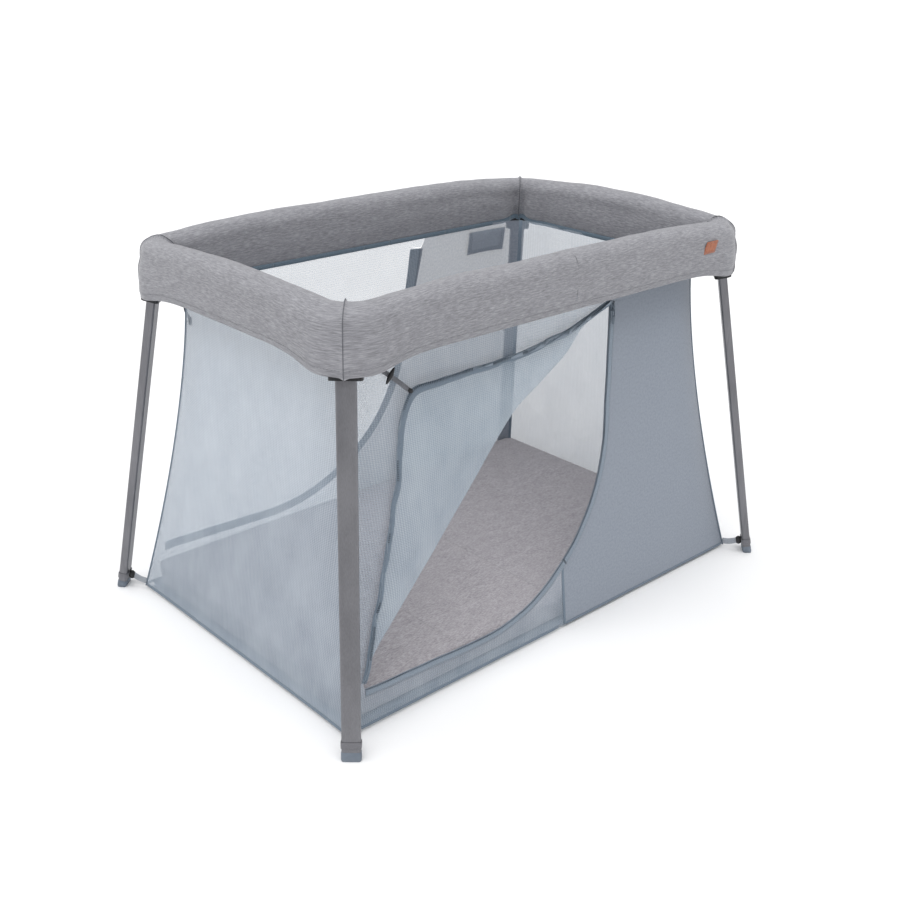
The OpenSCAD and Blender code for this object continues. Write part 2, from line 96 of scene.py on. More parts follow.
# where the open door's cloth folds back, and the edge with its half of the zipper
FOLD_LINE = [(0.138, 0.540), (0.104, 0.530), (0.065, 0.514), (0.029, 0.482), (-0.032, 0.449), (-0.100, 0.412),
             (-0.195, 0.325), (-0.308, 0.220), (-0.407, 0.127), (-0.438, 0.082)]
FREE_EDGE = [(0.138, 0.545), (0.055, 0.522), (-0.015, 0.510), (-0.082, 0.504), (-0.167, 0.502),
             (-0.248, 0.502), (-0.292, 0.500), (-0.314, 0.486), (-0.326, 0.462), (-0.338, 0.415),
             (-0.353, 0.352), (-0.378, 0.265), (-0.401, 0.191), (-0.425, 0.115), (-0.438, 0.078)]
REAR_FOLD = [(0.112, 0.550), (-0.440, 0.096)]    # the rear door's fold line
TOOTH_PITCH = 0.0031
TIE_TOP, TIE_END = (-0.374, 0.556), (-0.306, 0.499)
TOGGLE_DOWN = 0.016                              # how far the toggle has been slid down

FOOT_X, FOOT_Y = 0.505, 0.347
LEG_LEAN, LEG_AZIMUTH = math.radians(12.88), math.radians(47.95)
LEG_T, LEG_W = 0.015, 0.029
CAP_TALL, STRAP_AT = 0.012, 0.024

MATTRESS_X, MATTRESS_Y = 0.465, 0.292
MATTRESS_LOW, MATTRESS_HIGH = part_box("mattress_panel_2")[0].z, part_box("mattress_panel_2")[1].z


# ---- small tools ----

def srgb(r, g, b):
    """A linear colour from 0 to 255 display values."""
    linear = (c / 255 / 12.92 if c < 10.3 else ((c / 255 + 0.055) / 1.055) ** 2.4 for c in (r, g, b))
    return (*linear, 1.0)


def smooth_line(points, steps=10):
    """A smooth line through the points."""
    pts = [Vector(p) for p in points]
    pts = [2 * pts[0] - pts[1]] + pts + [2 * pts[-1] - pts[-2]]
    out = []
    for a, b, c, d in zip(pts, pts[1:], pts[2:], pts[3:]):
        for i in range(steps):
            t = i / steps
            second, third = 2 * a - 5 * b + 4 * c - d, 3 * b - a - 3 * c + d
            out.append(0.5 * (2 * b + (c - a) * t + second * t**2 + third * t**3))
    return out + [pts[-2]]


def spaced(line, count):
    """The line again, as count points at even distances."""
    along = [0.0]
    for p, q in zip(line, line[1:]):
        along.append(along[-1] + (q - p).length)
    out, k = [], 0
    for i in range(count):
        at = along[-1] * i / (count - 1)
        while k < len(line) - 2 and along[k + 1] < at:
            k += 1
        t = (at - along[k]) / max(along[k + 1] - along[k], 1e-9)
        out.append(line[k].lerp(line[k + 1], min(max(t, 0), 1)))
    return out


def length(line):
    return sum((q - p).length for p, q in zip(line, line[1:]))


def ripple(a, b, seed, size):
    """Smooth unevenness of cloth, the same each time."""
    broad, fine = Vector((a * 8, b * 5, seed)), Vector((a * 23, b * 17, seed + 7))
    return size * (noise.noise(broad) + 0.4 * noise.noise(fine))


def for_each(normals, line):
    """One direction for each point of a line, from such a list or from a single direction."""
    return [normals] * len(line) if isinstance(normals, Vector) else normals


class Shape:
    """Collects points and faces, each with a material number and a weave coordinate in metres."""

    def __init__(self):
        self.points, self.faces, self.slots, self.weave = [], [], [], []

    def add(self, points, faces, slot=0, weave=None):
        base = len(self.points)
        self.points += [tuple(p) for p in points]
        self.faces += [tuple(base + i for i in f) for f in faces]
        self.slots += [slot] * len(faces)
        self.weave += weave or [(p[0], p[2]) for p in points]

    def grid(self, rows, slot=0, weave=None, closed=False):
        """Joins rows of points of the same length; closed joins each row's end to its start."""
        n, cols = len(rows[0]), len(rows[0]) if closed else len(rows[0]) - 1
        faces = [(i * n + j, i * n + (j + 1) % n, (i + 1) * n + (j + 1) % n, (i + 1) * n + j)
                 for i in range(len(rows) - 1) for j in range(cols)]
        self.add([p for r in rows for p in r], faces, slot, weave and [w for r in weave for w in r])

    def sweep(self, line, outline, normals, slot=0, closed=False, scale=None):
        """Moves a closed outline of (across, out) points along a line."""
        n, rows, weave, run = len(line), [], [], 0.0
        for i, (p, normal) in enumerate(zip(line, for_each(normals, line))):
            ahead = line[(i + 1) % n if closed else min(i + 1, n - 1)]
            behind = line[i - 1 if closed or i else 0]
            tangent = (ahead - behind).normalized()
            across = tangent.cross(normal).normalized()
            out = across.cross(tangent)
            k = scale(i / (n - 1)) if scale else 1.0
            run += (p - line[i - 1]).length if i else 0
            rows.append([p + across * a * k + out * b * k for a, b in outline])
            weave.append([(run, a + b) for a, b in outline])
        if closed:
            rows.append(rows[0])
            weave.append(weave[0])
        start = len(self.points)
        self.grid(rows, slot, weave, closed=True)
        if not closed:
            m, last = len(outline), start + (len(rows) - 1) * len(outline)
            self.faces += [tuple(start + j for j in reversed(range(m))), tuple(last + j for j in range(m))]
            self.slots += [slot] * 2

    def stitches(self, line, normals, pitch=0.0052, long=0.0034, radius=0.00045, slot=0):
        """A row of short raised stitches along a line."""
        count = max(2, round(length(line) / pitch))
        at, ups = spaced(line, count), spaced(for_each(normals, line), count)
        for p, q, up in zip(at, at[1:], ups):
            way = (q - p).normalized()
            across = way.cross(up).normalized()
            rows = [[p + way * long * f + (across * math.cos(a) + up * math.sin(a)) * radius * r
                     for a in (0, 1.257, 2.513, 3.77, 5.027)]
                    for f, r in ((0, 0.25), (0.2, 1), (0.8, 1), (1, 0.25))]
            self.grid(rows, slot, closed=True)

    def make(self, name, *materials):
        mesh = bpy.data.meshes.new(name)
        mesh.from_pydata(self.points, [], self.faces)
        for m in materials:
            mesh.materials.append(m)
        mesh.polygons.foreach_set("material_index", self.slots)
        mesh.polygons.foreach_set("use_smooth", [True] * len(self.faces))
        layer = mesh.uv_layers.new(name="weave")
        for loop in mesh.loops:
            layer.data[loop.index].uv = self.weave[loop.vertex_index]
        mesh.validate()
        mesh.update()
        obj = bpy.data.objects.new(name, mesh)
        bpy.context.scene.collection.objects.link(obj)
        return obj


def tooth(shape, p, q, normal, rise, width):
    """A zipper's tooth at p, on the way to q."""
    way = (q - p).normalized()
    line = [p - way * 0.0006 + normal * rise, p + way * 0.0007 + normal * rise]
    shape.sweep(line, oval(width, 0.0014, 6), normal, 1)


def oval(width, thick, sides=12):
    """A flat outline with round ends, as (across, out) points."""
    out = []
    for i in range(sides):
        a = 2 * math.pi * i / sides
        c, s = math.cos(a), math.sin(a)
        out.append((math.copysign(abs(c) ** 0.5, c) * width / 2, math.copysign(abs(s) ** 0.7, s) * thick / 2))
    return out


def ring(radius, sides=10):
    return [(radius * math.cos(2 * math.pi * i / sides), radius * math.sin(2 * math.pi * i / sides))
            for i in range(sides)]


def inside(p, outline):
    hit = False
    for a, b in zip(outline, outline[1:] + outline[:1]):
        if (a[1] > p[1]) != (b[1] > p[1]) and p[0] < (b[0] - a[0]) * (p[1] - a[1]) / (b[1] - a[1]) + a[0]:
            hit = not hit
    return hit


def filled(outline, step):
    """Triangles that fill a closed outline of (a, b) points, with points step apart inside it."""
    pts = [Vector((p[0], p[1])) for p in outline]
    low = Vector((min(p.x for p in pts), min(p.y for p in pts)))
    high = Vector((max(p.x for p in pts), max(p.y for p in pts)))
    flat = [tuple(p) for p in pts]
    inner = []
    for j in range(int((high.y - low.y) / step) + 1):
        for i in range(int((high.x - low.x) / step) + 1):
            p = low + Vector(((i + 0.5 * (j % 2)) * step, (j + 0.5) * step))
            if inside(p, flat) and min((p - q).length for q in pts) > 0.45 * step:
                inner.append(p)
    verts, _, faces, *_ = delaunay_2d_cdt(pts + inner, [], [list(range(len(pts)))], 1, 1e-6)
    return verts, faces


def outline_area(outline):
    return abs(sum(a[0] * b[1] - b[0] * a[1] for a, b in zip(outline, outline[1:] + outline[:1]))) / 2


def evened(outline, step):
    """A closed outline with no gap between points over step."""
    out = []
    for a, b in zip(outline, outline[1:] + outline[:1]):
        a, b = Vector(a), Vector(b)
        n = max(1, math.ceil((b - a).length / step))
        out += [a.lerp(b, i / n) for i in range(n)]
    return out


# ---- materials ----

class Nodes:
    """A material with a Principled shader, and short ways to add nodes to it."""

    def __init__(self, name, roughness, **values):
        self.material = bpy.data.materials.new(name)
        self.material.use_nodes = True
        self.tree = self.material.node_tree
        self.shader = next(n for n in self.tree.nodes if n.type == "BSDF_PRINCIPLED")
        self.shader.inputs["Roughness"].default_value = roughness
        for key, value in values.items():
            self.shader.inputs[key.replace("_", " ")].default_value = value

    def node(self, kind, inputs=(), **settings):
        n = self.tree.nodes.new(kind)
        for key, value in settings.items():
            setattr(n, key, value)
        for key, value in dict(inputs).items():
            if isinstance(value, bpy.types.NodeSocket):
                self.tree.links.new(value, n.inputs[key])
            else:
                n.inputs[key].default_value = value
        return n

    def place(self, scale, weave=False):
        """Object or weave coordinates, scaled."""
        if weave:
            source = self.node("ShaderNodeUVMap", uv_map="weave").outputs[0]
        else:
            source = self.node("ShaderNodeTexCoord").outputs["Object"]
        return self.node("ShaderNodeMapping", {"Vector": source, "Scale": scale}).outputs[0]

    def noise(self, scale, detail=3.0, weave=False, roughness=0.6):
        values = {"Vector": self.place(scale, weave), "Scale": 1.0, "Detail": detail, "Roughness": roughness}
        return self.node("ShaderNodeTexNoise", values).outputs[0]

    def math(self, operation, a, b=0.0):
        return self.node("ShaderNodeMath", {0: a, 1: b}, operation=operation).outputs[0]

    def total(self, *parts):
        """The sum of values, each times its share."""
        out, *others = [self.math("MULTIPLY", value, share) for value, share in parts]
        for other in others:
            out = self.math("ADD", out, other)
        return out

    def ramp(self, value, stops):
        n = self.node("ShaderNodeValToRGB", {0: value})
        band = n.color_ramp
        while len(band.elements) < len(stops):
            band.elements.new(0.5)
        for e, (at, colour) in zip(band.elements, stops):
            e.position = at
            e.color = colour
        return n.outputs[0]

    def mix(self, factor, a, b, blend="MIX"):
        n = self.node("ShaderNodeMix", data_type="RGBA", blend_type=blend)
        for socket, value in ((n.inputs[0], factor), (n.inputs[6], a), (n.inputs[7], b)):
            if isinstance(value, bpy.types.NodeSocket):
                self.tree.links.new(value, socket)
            else:
                socket.default_value = value
        return n.outputs[2]

    def bump(self, height, distance, strength=0.6, after=None):
        values = {"Height": height, "Distance": distance, "Strength": strength}
        if after:
            values["Normal"] = after
        return self.node("ShaderNodeBump", values).outputs[0]

    def set(self, key, value):
        self.tree.links.new(value, self.shader.inputs[key])


def threads(m, pitch, weave=True, tilt=0.5):
    """Two crossing sets of threads as a height from 0 to 1."""
    split = m.node("ShaderNodeSeparateXYZ", {0: m.place((1, 1, 1), weave)})
    k = 2 * math.pi / pitch
    a = m.math("MULTIPLY", split.outputs[0], k)
    b = m.math("MULTIPLY", split.outputs[1], k * tilt)
    one = m.math("SINE", m.math("ADD", a, b))
    two = m.math("SINE", m.math("SUBTRACT", a, b))
    return m.math("MULTIPLY", m.math("ADD", m.math("MULTIPLY", one, two), 1.0), 0.5)


def knit(name, dark, middle, light, weave, streak=(80, 520, 520)):
    """Melange jersey: light and dark flecks in short streaks along the rows, over fine loops."""
    m = Nodes(name, 0.93, Sheen_Weight=0.25, Sheen_Roughness=0.5)
    flecks = m.noise(streak, 4.0, weave, 0.72)
    clouds = m.noise((26, 70, 70), 2.0, weave)
    base = m.ramp(flecks, [(0.28, dark), (0.50, middle), (0.72, light)])
    shade = m.ramp(clouds, [(0.30, (0.90, 0.90, 0.905, 1)), (0.70, (1.06, 1.06, 1.06, 1))])
    m.set("Base Color", m.mix(1.0, base, shade, "MULTIPLY"))
    loops = threads(m, 0.0021, weave, 1.1)
    m.set("Normal", m.bump(loops, 0.0003, 0.35, m.bump(flecks, 0.0008, 0.45)))
    return m.material


def see_through(name, dark, light, cover, pitch=0.0026):
    """Warp-knit mesh: threads round small holes, more closed in some rows than in others."""
    m = Nodes(name, 0.85, Sheen_Weight=0.15)
    holes = threads(m, pitch)
    net = threads(m, 0.0078, True, 2.4)
    clouds = m.noise((14, 9, 9), 2.0, True)
    rows = m.noise((420, 14, 14), 1.0, True)
    tone = m.total((clouds, 0.5), (rows, 0.2), (net, 0.3))
    m.set("Base Color", m.ramp(tone, [(0.30, dark), (0.68, light)]))
    m.set("Normal", m.bump(holes, 0.0004, 0.4))
    uneven = m.total(*((m.math("SUBTRACT", value, 0.5), share)
                       for value, share in ((holes, 0.36), (clouds, 0.16), (net, 0.14))))
    m.set("Alpha", m.math("ADD", uneven, cover))
    return m.material


def woven(name, dark, light, pitch=0.0016, roughness=0.82, grain=240, cover=1.0):
    m = Nodes(name, roughness, Sheen_Weight=0.2, Alpha=cover)
    yarn = threads(m, pitch, True, 1.0)
    clouds = m.noise((grain, grain, grain), 3.0, True)
    m.set("Base Color", m.ramp(m.total((clouds, 0.75), (yarn, 0.25)), [(0.32, dark), (0.66, light)]))
    m.set("Normal", m.bump(yarn, 0.00035, 0.5, m.bump(clouds, 0.0004, 0.3)))
    return m.material


def moulded(name, dark, light, roughness=0.48):
    m = Nodes(name, roughness, Specular_IOR_Level=0.4)
    grain = m.noise((1600, 1600, 1600), 2.0)
    smears = m.noise((24, 24, 24), 3.0)
    m.set("Base Color", m.ramp(smears, [(0.35, dark), (0.65, light)]))
    m.set("Roughness", m.math("ADD", m.math("MULTIPLY", smears, 0.16), roughness - 0.08))
    m.set("Normal", m.bump(grain, 0.00012, 0.5))
    return m.material


def anodised(name, dark, light, roughness=0.42):
    """Satin aluminium with fine lines along the tube and faint rubs."""
    m = Nodes(name, roughness, Metallic=0.72)
    lines = m.noise((900, 900, 10), 2.0)
    rubs = m.noise((16, 16, 7), 3.0)
    m.set("Base Color", m.ramp(m.total((lines, 0.35), (rubs, 0.65)), [(0.35, dark), (0.65, light)]))
    m.set("Roughness", m.math("ADD", m.math("MULTIPLY", rubs, 0.18), roughness - 0.09))
    m.set("Normal", m.bump(lines, 0.00005, 0.4))
    return m.material


def leather(name, dark, light):
    m = Nodes(name, 0.55, Specular_IOR_Level=0.35)
    pores = m.node("ShaderNodeTexVoronoi", {"Vector": m.place((900, 900, 900)), "Scale": 1.0}).outputs[0]
    clouds = m.noise((160, 160, 160), 3.0)
    m.set("Base Color", m.ramp(clouds, [(0.3, dark), (0.7, light)]))
    m.set("Normal", m.bump(pores, 0.00025, 0.5))
    return m.material


KNIT = knit("melange_knit", srgb(118, 118, 122), srgb(145, 145, 150), srgb(175, 175, 180), True)
MATTRESS_KNIT = knit("mattress_knit", srgb(128, 124, 128), srgb(158, 154, 158), srgb(186, 183, 187), False,
                     (150, 520, 520))
LIGHT_MESH = see_through("light_mesh", srgb(160, 176, 192), srgb(198, 208, 219), 0.48)
END_MESH = see_through("end_mesh", srgb(158, 172, 187), srgb(190, 200, 211), 0.64)
DOOR_MESH = see_through("door_mesh", srgb(160, 176, 190), srgb(196, 207, 216), 0.52)
DENSE = woven("dense_cloth", srgb(138, 146, 158), srgb(154, 162, 174))
# the rear wall's dense cloth: partly see-through, and painted lighter than the front's for the light that
# comes through it from behind
DENSE_SEE_THROUGH_PAINTED_BACKLIGHT = woven("dense_cloth_see_through_painted_backlight", srgb(138, 147, 160), srgb(160, 168, 180), cover=0.76)
ROLL = woven("rolled_edge", srgb(122, 136, 151), srgb(154, 166, 179), 0.0011, 0.75, 500)
BASE_CLOTH = woven("base_cloth", srgb(112, 124, 138), srgb(138, 149, 162))
TAPE = woven("zip_tape", srgb(98, 114, 130), srgb(126, 140, 154), 0.0011, 0.75, 500)
BINDING = woven("binding", srgb(82, 101, 116), srgb(108, 126, 140), 0.0011, 0.7, 500)
THREAD = woven("thread", srgb(118, 120, 126), srgb(150, 151, 156), 0.0008, 0.8, 900)
# thread for the corner seams, coloured darker than the hem thread to paint the shade in the seams' grooves
SEAM_THREAD_AND_SHADE = woven("seam_thread_and_painted_shade", srgb(82, 84, 90), srgb(108, 110, 116), 0.0008, 0.85, 900)
WEBBING = woven("webbing", srgb(96, 98, 104), srgb(126, 128, 134), 0.0014, 0.8, 400)
LEG_WEBBING = woven("leg_webbing", srgb(104, 104, 109), srgb(126, 126, 131), 0.0014, 0.7, 400)
PALE_WEBBING = woven("pale_webbing", srgb(150, 156, 164), srgb(182, 187, 194), 0.0014, 0.8, 400)
TEETH = moulded("zip_teeth", srgb(74, 85, 97), srgb(104, 116, 128), 0.4)
STRIP = woven("dark_strip", srgb(78, 91, 105), srgb(102, 115, 129), 0.0012, 0.8, 400)
BLACK = moulded("black_plastic", srgb(28, 29, 31), srgb(42, 43, 46))
CAP_PLASTIC = moulded("cap_plastic", srgb(98, 108, 120), srgb(122, 131, 142), 0.5)
ALUMINIUM = anodised("anodised_aluminium", srgb(112, 112, 116), srgb(134, 134, 138))
STEEL = anodised("plated_steel", srgb(150, 150, 152), srgb(182, 182, 184), 0.3)
LEATHER = leather("tag_leather", srgb(158, 96, 70), srgb(182, 118, 90))

for node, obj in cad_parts.items():
    obj.data.materials.clear()
    if node.startswith(("leg_", "end_rail", "front_rail", "rear_rail")):
        obj.data.materials.append(ALUMINIUM)
    elif "pins" in node:
        obj.data.materials.append(STEEL)
    elif node.startswith("foot_caps") or node.endswith("lock_button"):
        obj.data.materials.append(CAP_PLASTIC)
    else:
        obj.data.materials.append(BLACK)


# ---- how pieces follow the frame ----

def flattens(obj, side):
    """Gives the cloth piece its own copy of its mesh."""
    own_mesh(obj)


def settle(obj, body, side, slot, *nodes):
    """A cloth piece: which body it rides on and what it stands for; its finish is not used."""
    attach(obj, body)
    flattens(obj, side)
    if nodes:
        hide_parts(*nodes)
    return obj


def long_word(side):
    return "front" if side == FRONT else "rear"


def end_word(side):
    return "left" if side == LEFT else "right"


# ---- padded rail cover ----

def rail_at(s):
    """Plan point, outward direction and distance to the nearest corner seam at s along the rail, which runs
    from the middle of the front to the right."""
    runs = [("line", STRAIGHT_X, (0, -RAIL_Y), (1, 0)),
            ("bend", BEND_L, (STRAIGHT_X, -STRAIGHT_Y), -90),
            ("line", 2 * STRAIGHT_Y, (RAIL_X, -STRAIGHT_Y), (0, 1)),
            ("bend", BEND_L, (STRAIGHT_X, STRAIGHT_Y), 0),
            ("line", 2 * STRAIGHT_X, (STRAIGHT_X, RAIL_Y), (-1, 0)),
            ("bend", BEND_L, (-STRAIGHT_X, STRAIGHT_Y), 90),
            ("line", 2 * STRAIGHT_Y, (-RAIL_X, STRAIGHT_Y), (0, -1)),
            ("bend", BEND_L, (-STRAIGHT_X, -STRAIGHT_Y), 180),
            ("line", STRAIGHT_X, (-STRAIGHT_X, -RAIL_Y), (1, 0))]
    at, seams, found = 0.0, [], None
    for kind, long, start, way in runs:
        if kind == "bend":
            seams.append(at + long / 2)
        if found is None and s <= at + long + 1e-9:
            t = s - at
            if kind == "line":
                found = Vector(start) + Vector(way) * t, Vector((way[1], -way[0]))
            else:
                a = math.radians(way) + t / BEND_R
                out = Vector((math.cos(a), math.sin(a)))
                found = Vector(start) + out * BEND_R, out
        at += long
    gaps = [(abs(s - q), s - q) for q in seams]
    return found[0], found[1], min(gaps)


S_FRONT = STRAIGHT_X
S_RIGHT = S_FRONT + BEND_L
S_REAR = S_RIGHT + 2 * STRAIGHT_Y + BEND_L
S_LEFT = S_REAR + 2 * STRAIGHT_X
S_LAP = S_LEFT + 2 * BEND_L + 2 * STRAIGHT_Y + STRAIGHT_X
RIGHT_SEAMS = [S_FRONT + BEND_L / 2, S_REAR - BEND_L / 2]
LEFT_SEAMS = [S_LEFT + BEND_L / 2, S_LAP - STRAIGHT_X - BEND_L / 2]
OUTER_ROWS, TOP_ROWS, INNER_ROWS = 10, 18, 10
SEAM_GROOVE, GROOVE_REACH = 0.0019, 0.0022       # the groove at a corner seam
SEAM_SWELL, SWELL_REACH = 0.0013, 0.020          # the padding swells beside it
SEAM_PUCKER, PUCKER_REACH = 0.0007, 0.018        # fine puckers along it
INNER_PUCKER, INNER_REACH = 0.0042, 0.060        # broad puckers on the inner side of a corner


def section(d):
    """Points of the cover's section as (outwards, height), from the hem over the top to the inner edge."""
    r = COVER_THICK / 2
    top = CORNER_TOP + CROWN * (1 - math.exp(-(d / 0.12) ** 2))
    foot = OUTER_FOOT - CORNER_DROOP * math.exp(-(d / DROOP_REACH) ** 2)
    pts = [(r - 0.012, foot + 0.008), (r - 0.007, foot + 0.0015), (r - 0.003, foot)]
    for i in range(OUTER_ROWS):
        t = i / OUTER_ROWS
        pts.append((r - 0.0008 + 0.0022 * math.sin(math.pi * t) - 0.002 * (1 - t) ** 6,
                    foot + 0.0015 + (top - r - foot - 0.0015) * t))
    for i in range(TOP_ROWS + 1):
        a = math.pi * i / TOP_ROWS
        pts.append((r * math.cos(a), top - r + r * math.sin(a)))
    for i in range(1, INNER_ROWS + 1):
        t = i / INNER_ROWS
        pts.append((-r - 0.0035 * math.sin(math.pi * t) + 0.001 * t, top - r + (INNER_FOOT - top + r) * t))
    return pts + [(-r + 0.004, INNER_FOOT + 0.003)]


HEM_ROW = 4          # the row of the section that the hem's stitches follow
SECTION_ROWS = len(section(0.0))


def cover_ring(s):
    """Points of the cover's section at s, with the seam's groove, puckers beside it and slight unevenness."""
    centre, out, (d, signed) = rail_at(s)
    flat = section(d)
    pts = []
    for k, (n, z) in enumerate(flat):
        t = k / (SECTION_ROWS - 1)
        before, after = flat[max(k - 1, 0)], flat[min(k + 1, SECTION_ROWS - 1)]
        way = Vector((after[0] - before[0], after[1] - before[1])).normalized()
        up = Vector((-way.y, way.x))
        inner = min(max((t - 0.45) / 0.35, 0), 1)
        swell = math.exp(-(d / SWELL_REACH) ** 2) * (1 - math.exp(-(d / 0.004) ** 2))
        pucker = math.sin(t * 41 + 1.7 * math.copysign(1, signed)) * math.exp(-d / PUCKER_REACH)
        folds = math.exp(-(d / INNER_REACH) ** 2) * math.sin(62 * d + 3.4 * t + centre.x * 9)
        push = SEAM_SWELL * swell - SEAM_GROOVE * math.exp(-(d / GROOVE_REACH) ** 2)
        push += SEAM_PUCKER * pucker + inner * INNER_PUCKER * folds
        push += min(1.0, 4 * t, 6 * (1 - t)) * ripple(s * 1.3, t * 1.6, 3.0, 0.0017)
        n, z = n + up.x * push, z + up.y * push
        height = (z - INNER_FOOT) / (COVER_TOP - INNER_FOOT)
        n -= CORNER_LEAN * math.exp(-(d / LEAN_REACH) ** 2) * (height - LEAN_LEVEL)
        pts.append(Vector((centre.x + out.x * n, centre.y + out.y * n, z)))
    return pts


def stations(a, b):
    """Places along the rail for a piece from a to b, close together beside a seam."""
    count = max(2, round((b - a) / 0.006))
    at = {a + (b - a) * i / count for i in range(count + 1)}
    for q in RIGHT_SEAMS + LEFT_SEAMS:
        if a < q < b:
            at |= {q + k * 0.001 for k in range(-6, 7)}
    at = sorted(at)
    return [p for i, p in enumerate(at) if i == 0 or p - at[i - 1] > 0.0004]


def cover_piece(name, a, b, seams=()):
    """A length of the padded cover, with its binding, hem stitches and corner seams."""
    at = stations(a, b)
    rings = [cover_ring(s) for s in at]
    around = [0.0]
    for p, q in zip(rings[0], rings[0][1:]):
        around.append(around[-1] + (q - p).length)
    shape = Shape()
    shape.grid(rings, 0, [[(s, v) for v in around] for s in at])
    outs = [Vector((*rail_at(s)[1], 0)) for s in at]
    edge = [r[-2] + Vector((0, 0, -0.0012)) for r in rings]
    shape.sweep(edge, oval(0.0085, 0.0042), [-o for o in outs], 1)
    hem = [r[HEM_ROW] + (r[HEM_ROW + 1] - r[HEM_ROW]) * 0.4 + o * 0.0004 for r, o in zip(rings, outs)]
    shape.stitches(hem, outs, slot=2)
    for q in seams:
        pts = cover_ring(q)[2:-1]
        out = Vector((*rail_at(q)[1], 0))
        ups = [out if k < 14 else Vector((0, 0, 1)) if k < 28 else -out for k in range(len(pts))]
        line = [p + u * 0.0001 for p, u in zip(pts, ups)]
        # a thin thread along each corner seam's groove, dark for painted shade in the groove
        shape.sweep(line, ring(0.0007, 6), Vector((out.y, -out.x, 0)), 3)
    piece = shape.make(name, KNIT, BINDING, THREAD, SEAM_THREAD_AND_SHADE)
    return piece


def make_covers():
    right = cover_piece("cover_right", S_FRONT, S_REAR, RIGHT_SEAMS)
    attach(right, "right_end")
    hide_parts("cover_right_end")
    left = cover_piece("cover_left", S_LEFT, S_LAP - STRAIGHT_X, LEFT_SEAMS)
    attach(left, "left_end")
    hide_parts("cover_left_end")
    rear_middle = S_REAR + STRAIGHT_X
    lengths = {
        ("front", RIGHT): (lambda x: x), ("front", LEFT): (lambda x: S_LAP + x),
        ("rear", RIGHT): (lambda x: rear_middle - x), ("rear", LEFT): (lambda x: rear_middle - x)}
    for (side, way), place in lengths.items():
        word = end_word(way)
        rail, middle, end = f"{side}_rail_{word}", f"{side}_mid", f"{word}_end"
        for part, near, far, bodies, start, stop in (
                ("link", 0, HALF_SPLIT_X, (middle, rail), 0.0, LINK_BEND_X),
                ("hub", HALF_SPLIT_X, STRAIGHT_X, (rail, end), HUB_BEND_X, STRAIGHT_X)):
            if part == "link" and (side, way) == ("rear", RIGHT):
                # the pivot here is opened in the linkage, so the cover is in two pieces that meet at it
                for name, body, c, d in (("middle", middle, near, LINK_PIVOT_X),
                                         ("link", rail, LINK_PIVOT_X, far)):
                    piece = cover_piece(f"cover_rear_right_{name}", *sorted((place(c), place(d))))
                    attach(piece, body)
                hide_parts("cover_rear_right")
                continue
            a, b = sorted((place(way * near), place(way * far)))
            piece = cover_piece(f"cover_{side}_{word}_{part}", a, b)
            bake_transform(piece)
            if part == "link":
                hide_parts(f"cover_{side}_{word}")


def make_tag():
    """Blank leather tag, a little skewed, sewn on near the front right corner."""
    low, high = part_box("label_tag")
    centre = (low + high) / 2
    half_w, half_h, thick, skew, r = 0.0150, 0.0095, 0.0011, 0.0035, 0.0012
    corner = [(half_w - r, half_h - r, 0), (-half_w + r, half_h - r, 90), (-half_w + r, -half_h + r, 180),
              (half_w - r, -half_h + r, 270)]
    outline = [(x + r * math.cos(math.radians(a + b)), z + r * math.sin(math.radians(a + b)))
               for x, z, a in corner for b in (0, 30, 60, 90)]
    y = -COVER_Y - 0.0012
    shape = Shape()
    rows = [[Vector((centre.x + x * k + skew * z / half_h, y - o, centre.z + z * k)) for x, z in outline]
            for o, k in ((-0.001, 1.0), (thick * 0.6, 1.0), (thick, 0.965), (thick, 0.5))]
    shape.grid(rows, 0, closed=True)
    shape.faces.append(tuple(range(len(shape.points) - len(outline), len(shape.points))))
    shape.slots.append(0)
    hem = [Vector((centre.x + x * 0.86 + skew * z / half_h, y - thick, centre.z + z * 0.82))
           for x, z in outline]
    hem.append(hem[0])
    shape.stitches(hem, Vector((0, -1, 0)), 0.0031, 0.0021, 0.00028, 1)
    tag = shape.make("leather_tag", LEATHER, THREAD)
    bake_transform(tag)
    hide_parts("label_tag")


# ---- tub walls ----

def drop(z):
    return min(max((TILT_TOP - z) / (TILT_TOP - WALL_FOOT), 0.0), 1.0)


def seam_at(z):
    """Plan position of the tub's corner seam at a height."""
    f = drop(z) ** CORNER_CURVE
    return SEAM_TOP[0] + (SEAM_FOOT[0] - SEAM_TOP[0]) * f, SEAM_TOP[1] + (SEAM_FOOT[1] - SEAM_TOP[1]) * f


def past_bend(a, edge):
    return min(max((abs(a) - edge + CORNER_BEND) / CORNER_BEND, 0.0), 1.0)


def long_wall(x, z, out=0.0, side=FRONT):
    """A point on a long wall, x along it at height z, and out in front of its cloth."""
    sx, sy = seam_at(z)
    y = SIDE_TOP_Y + (SIDE_FOOT_Y - SIDE_TOP_Y) * drop(z)
    past = past_bend(x, sx)
    out += CLOTH_OUT + ripple(x, z, 11.0 + side, 0.0022) * (1 - past) * min(1.0, z / 0.05)
    y += (sy - y) * past * past
    return Vector((x, side * (y + out * math.cos(SIDE_TILT)), z + out * math.sin(SIDE_TILT)))


def end_wall(y, z, out=0.0, side=LEFT):
    sx, sy = seam_at(z)
    x = END_TOP_X + (END_FOOT_X - END_TOP_X) * drop(z)
    past = past_bend(y, sy)
    out += CLOTH_OUT + ripple(y, z, 31.0 + side, 0.0022) * (1 - past) * min(1.0, z / 0.05)
    x += (sx - x) * past * past
    return Vector((side * (x + out * math.cos(END_TILT)), y, z + out * math.sin(END_TILT)))


def wall_normal(side):
    return Vector((0, side * math.cos(SIDE_TILT), math.sin(SIDE_TILT)))


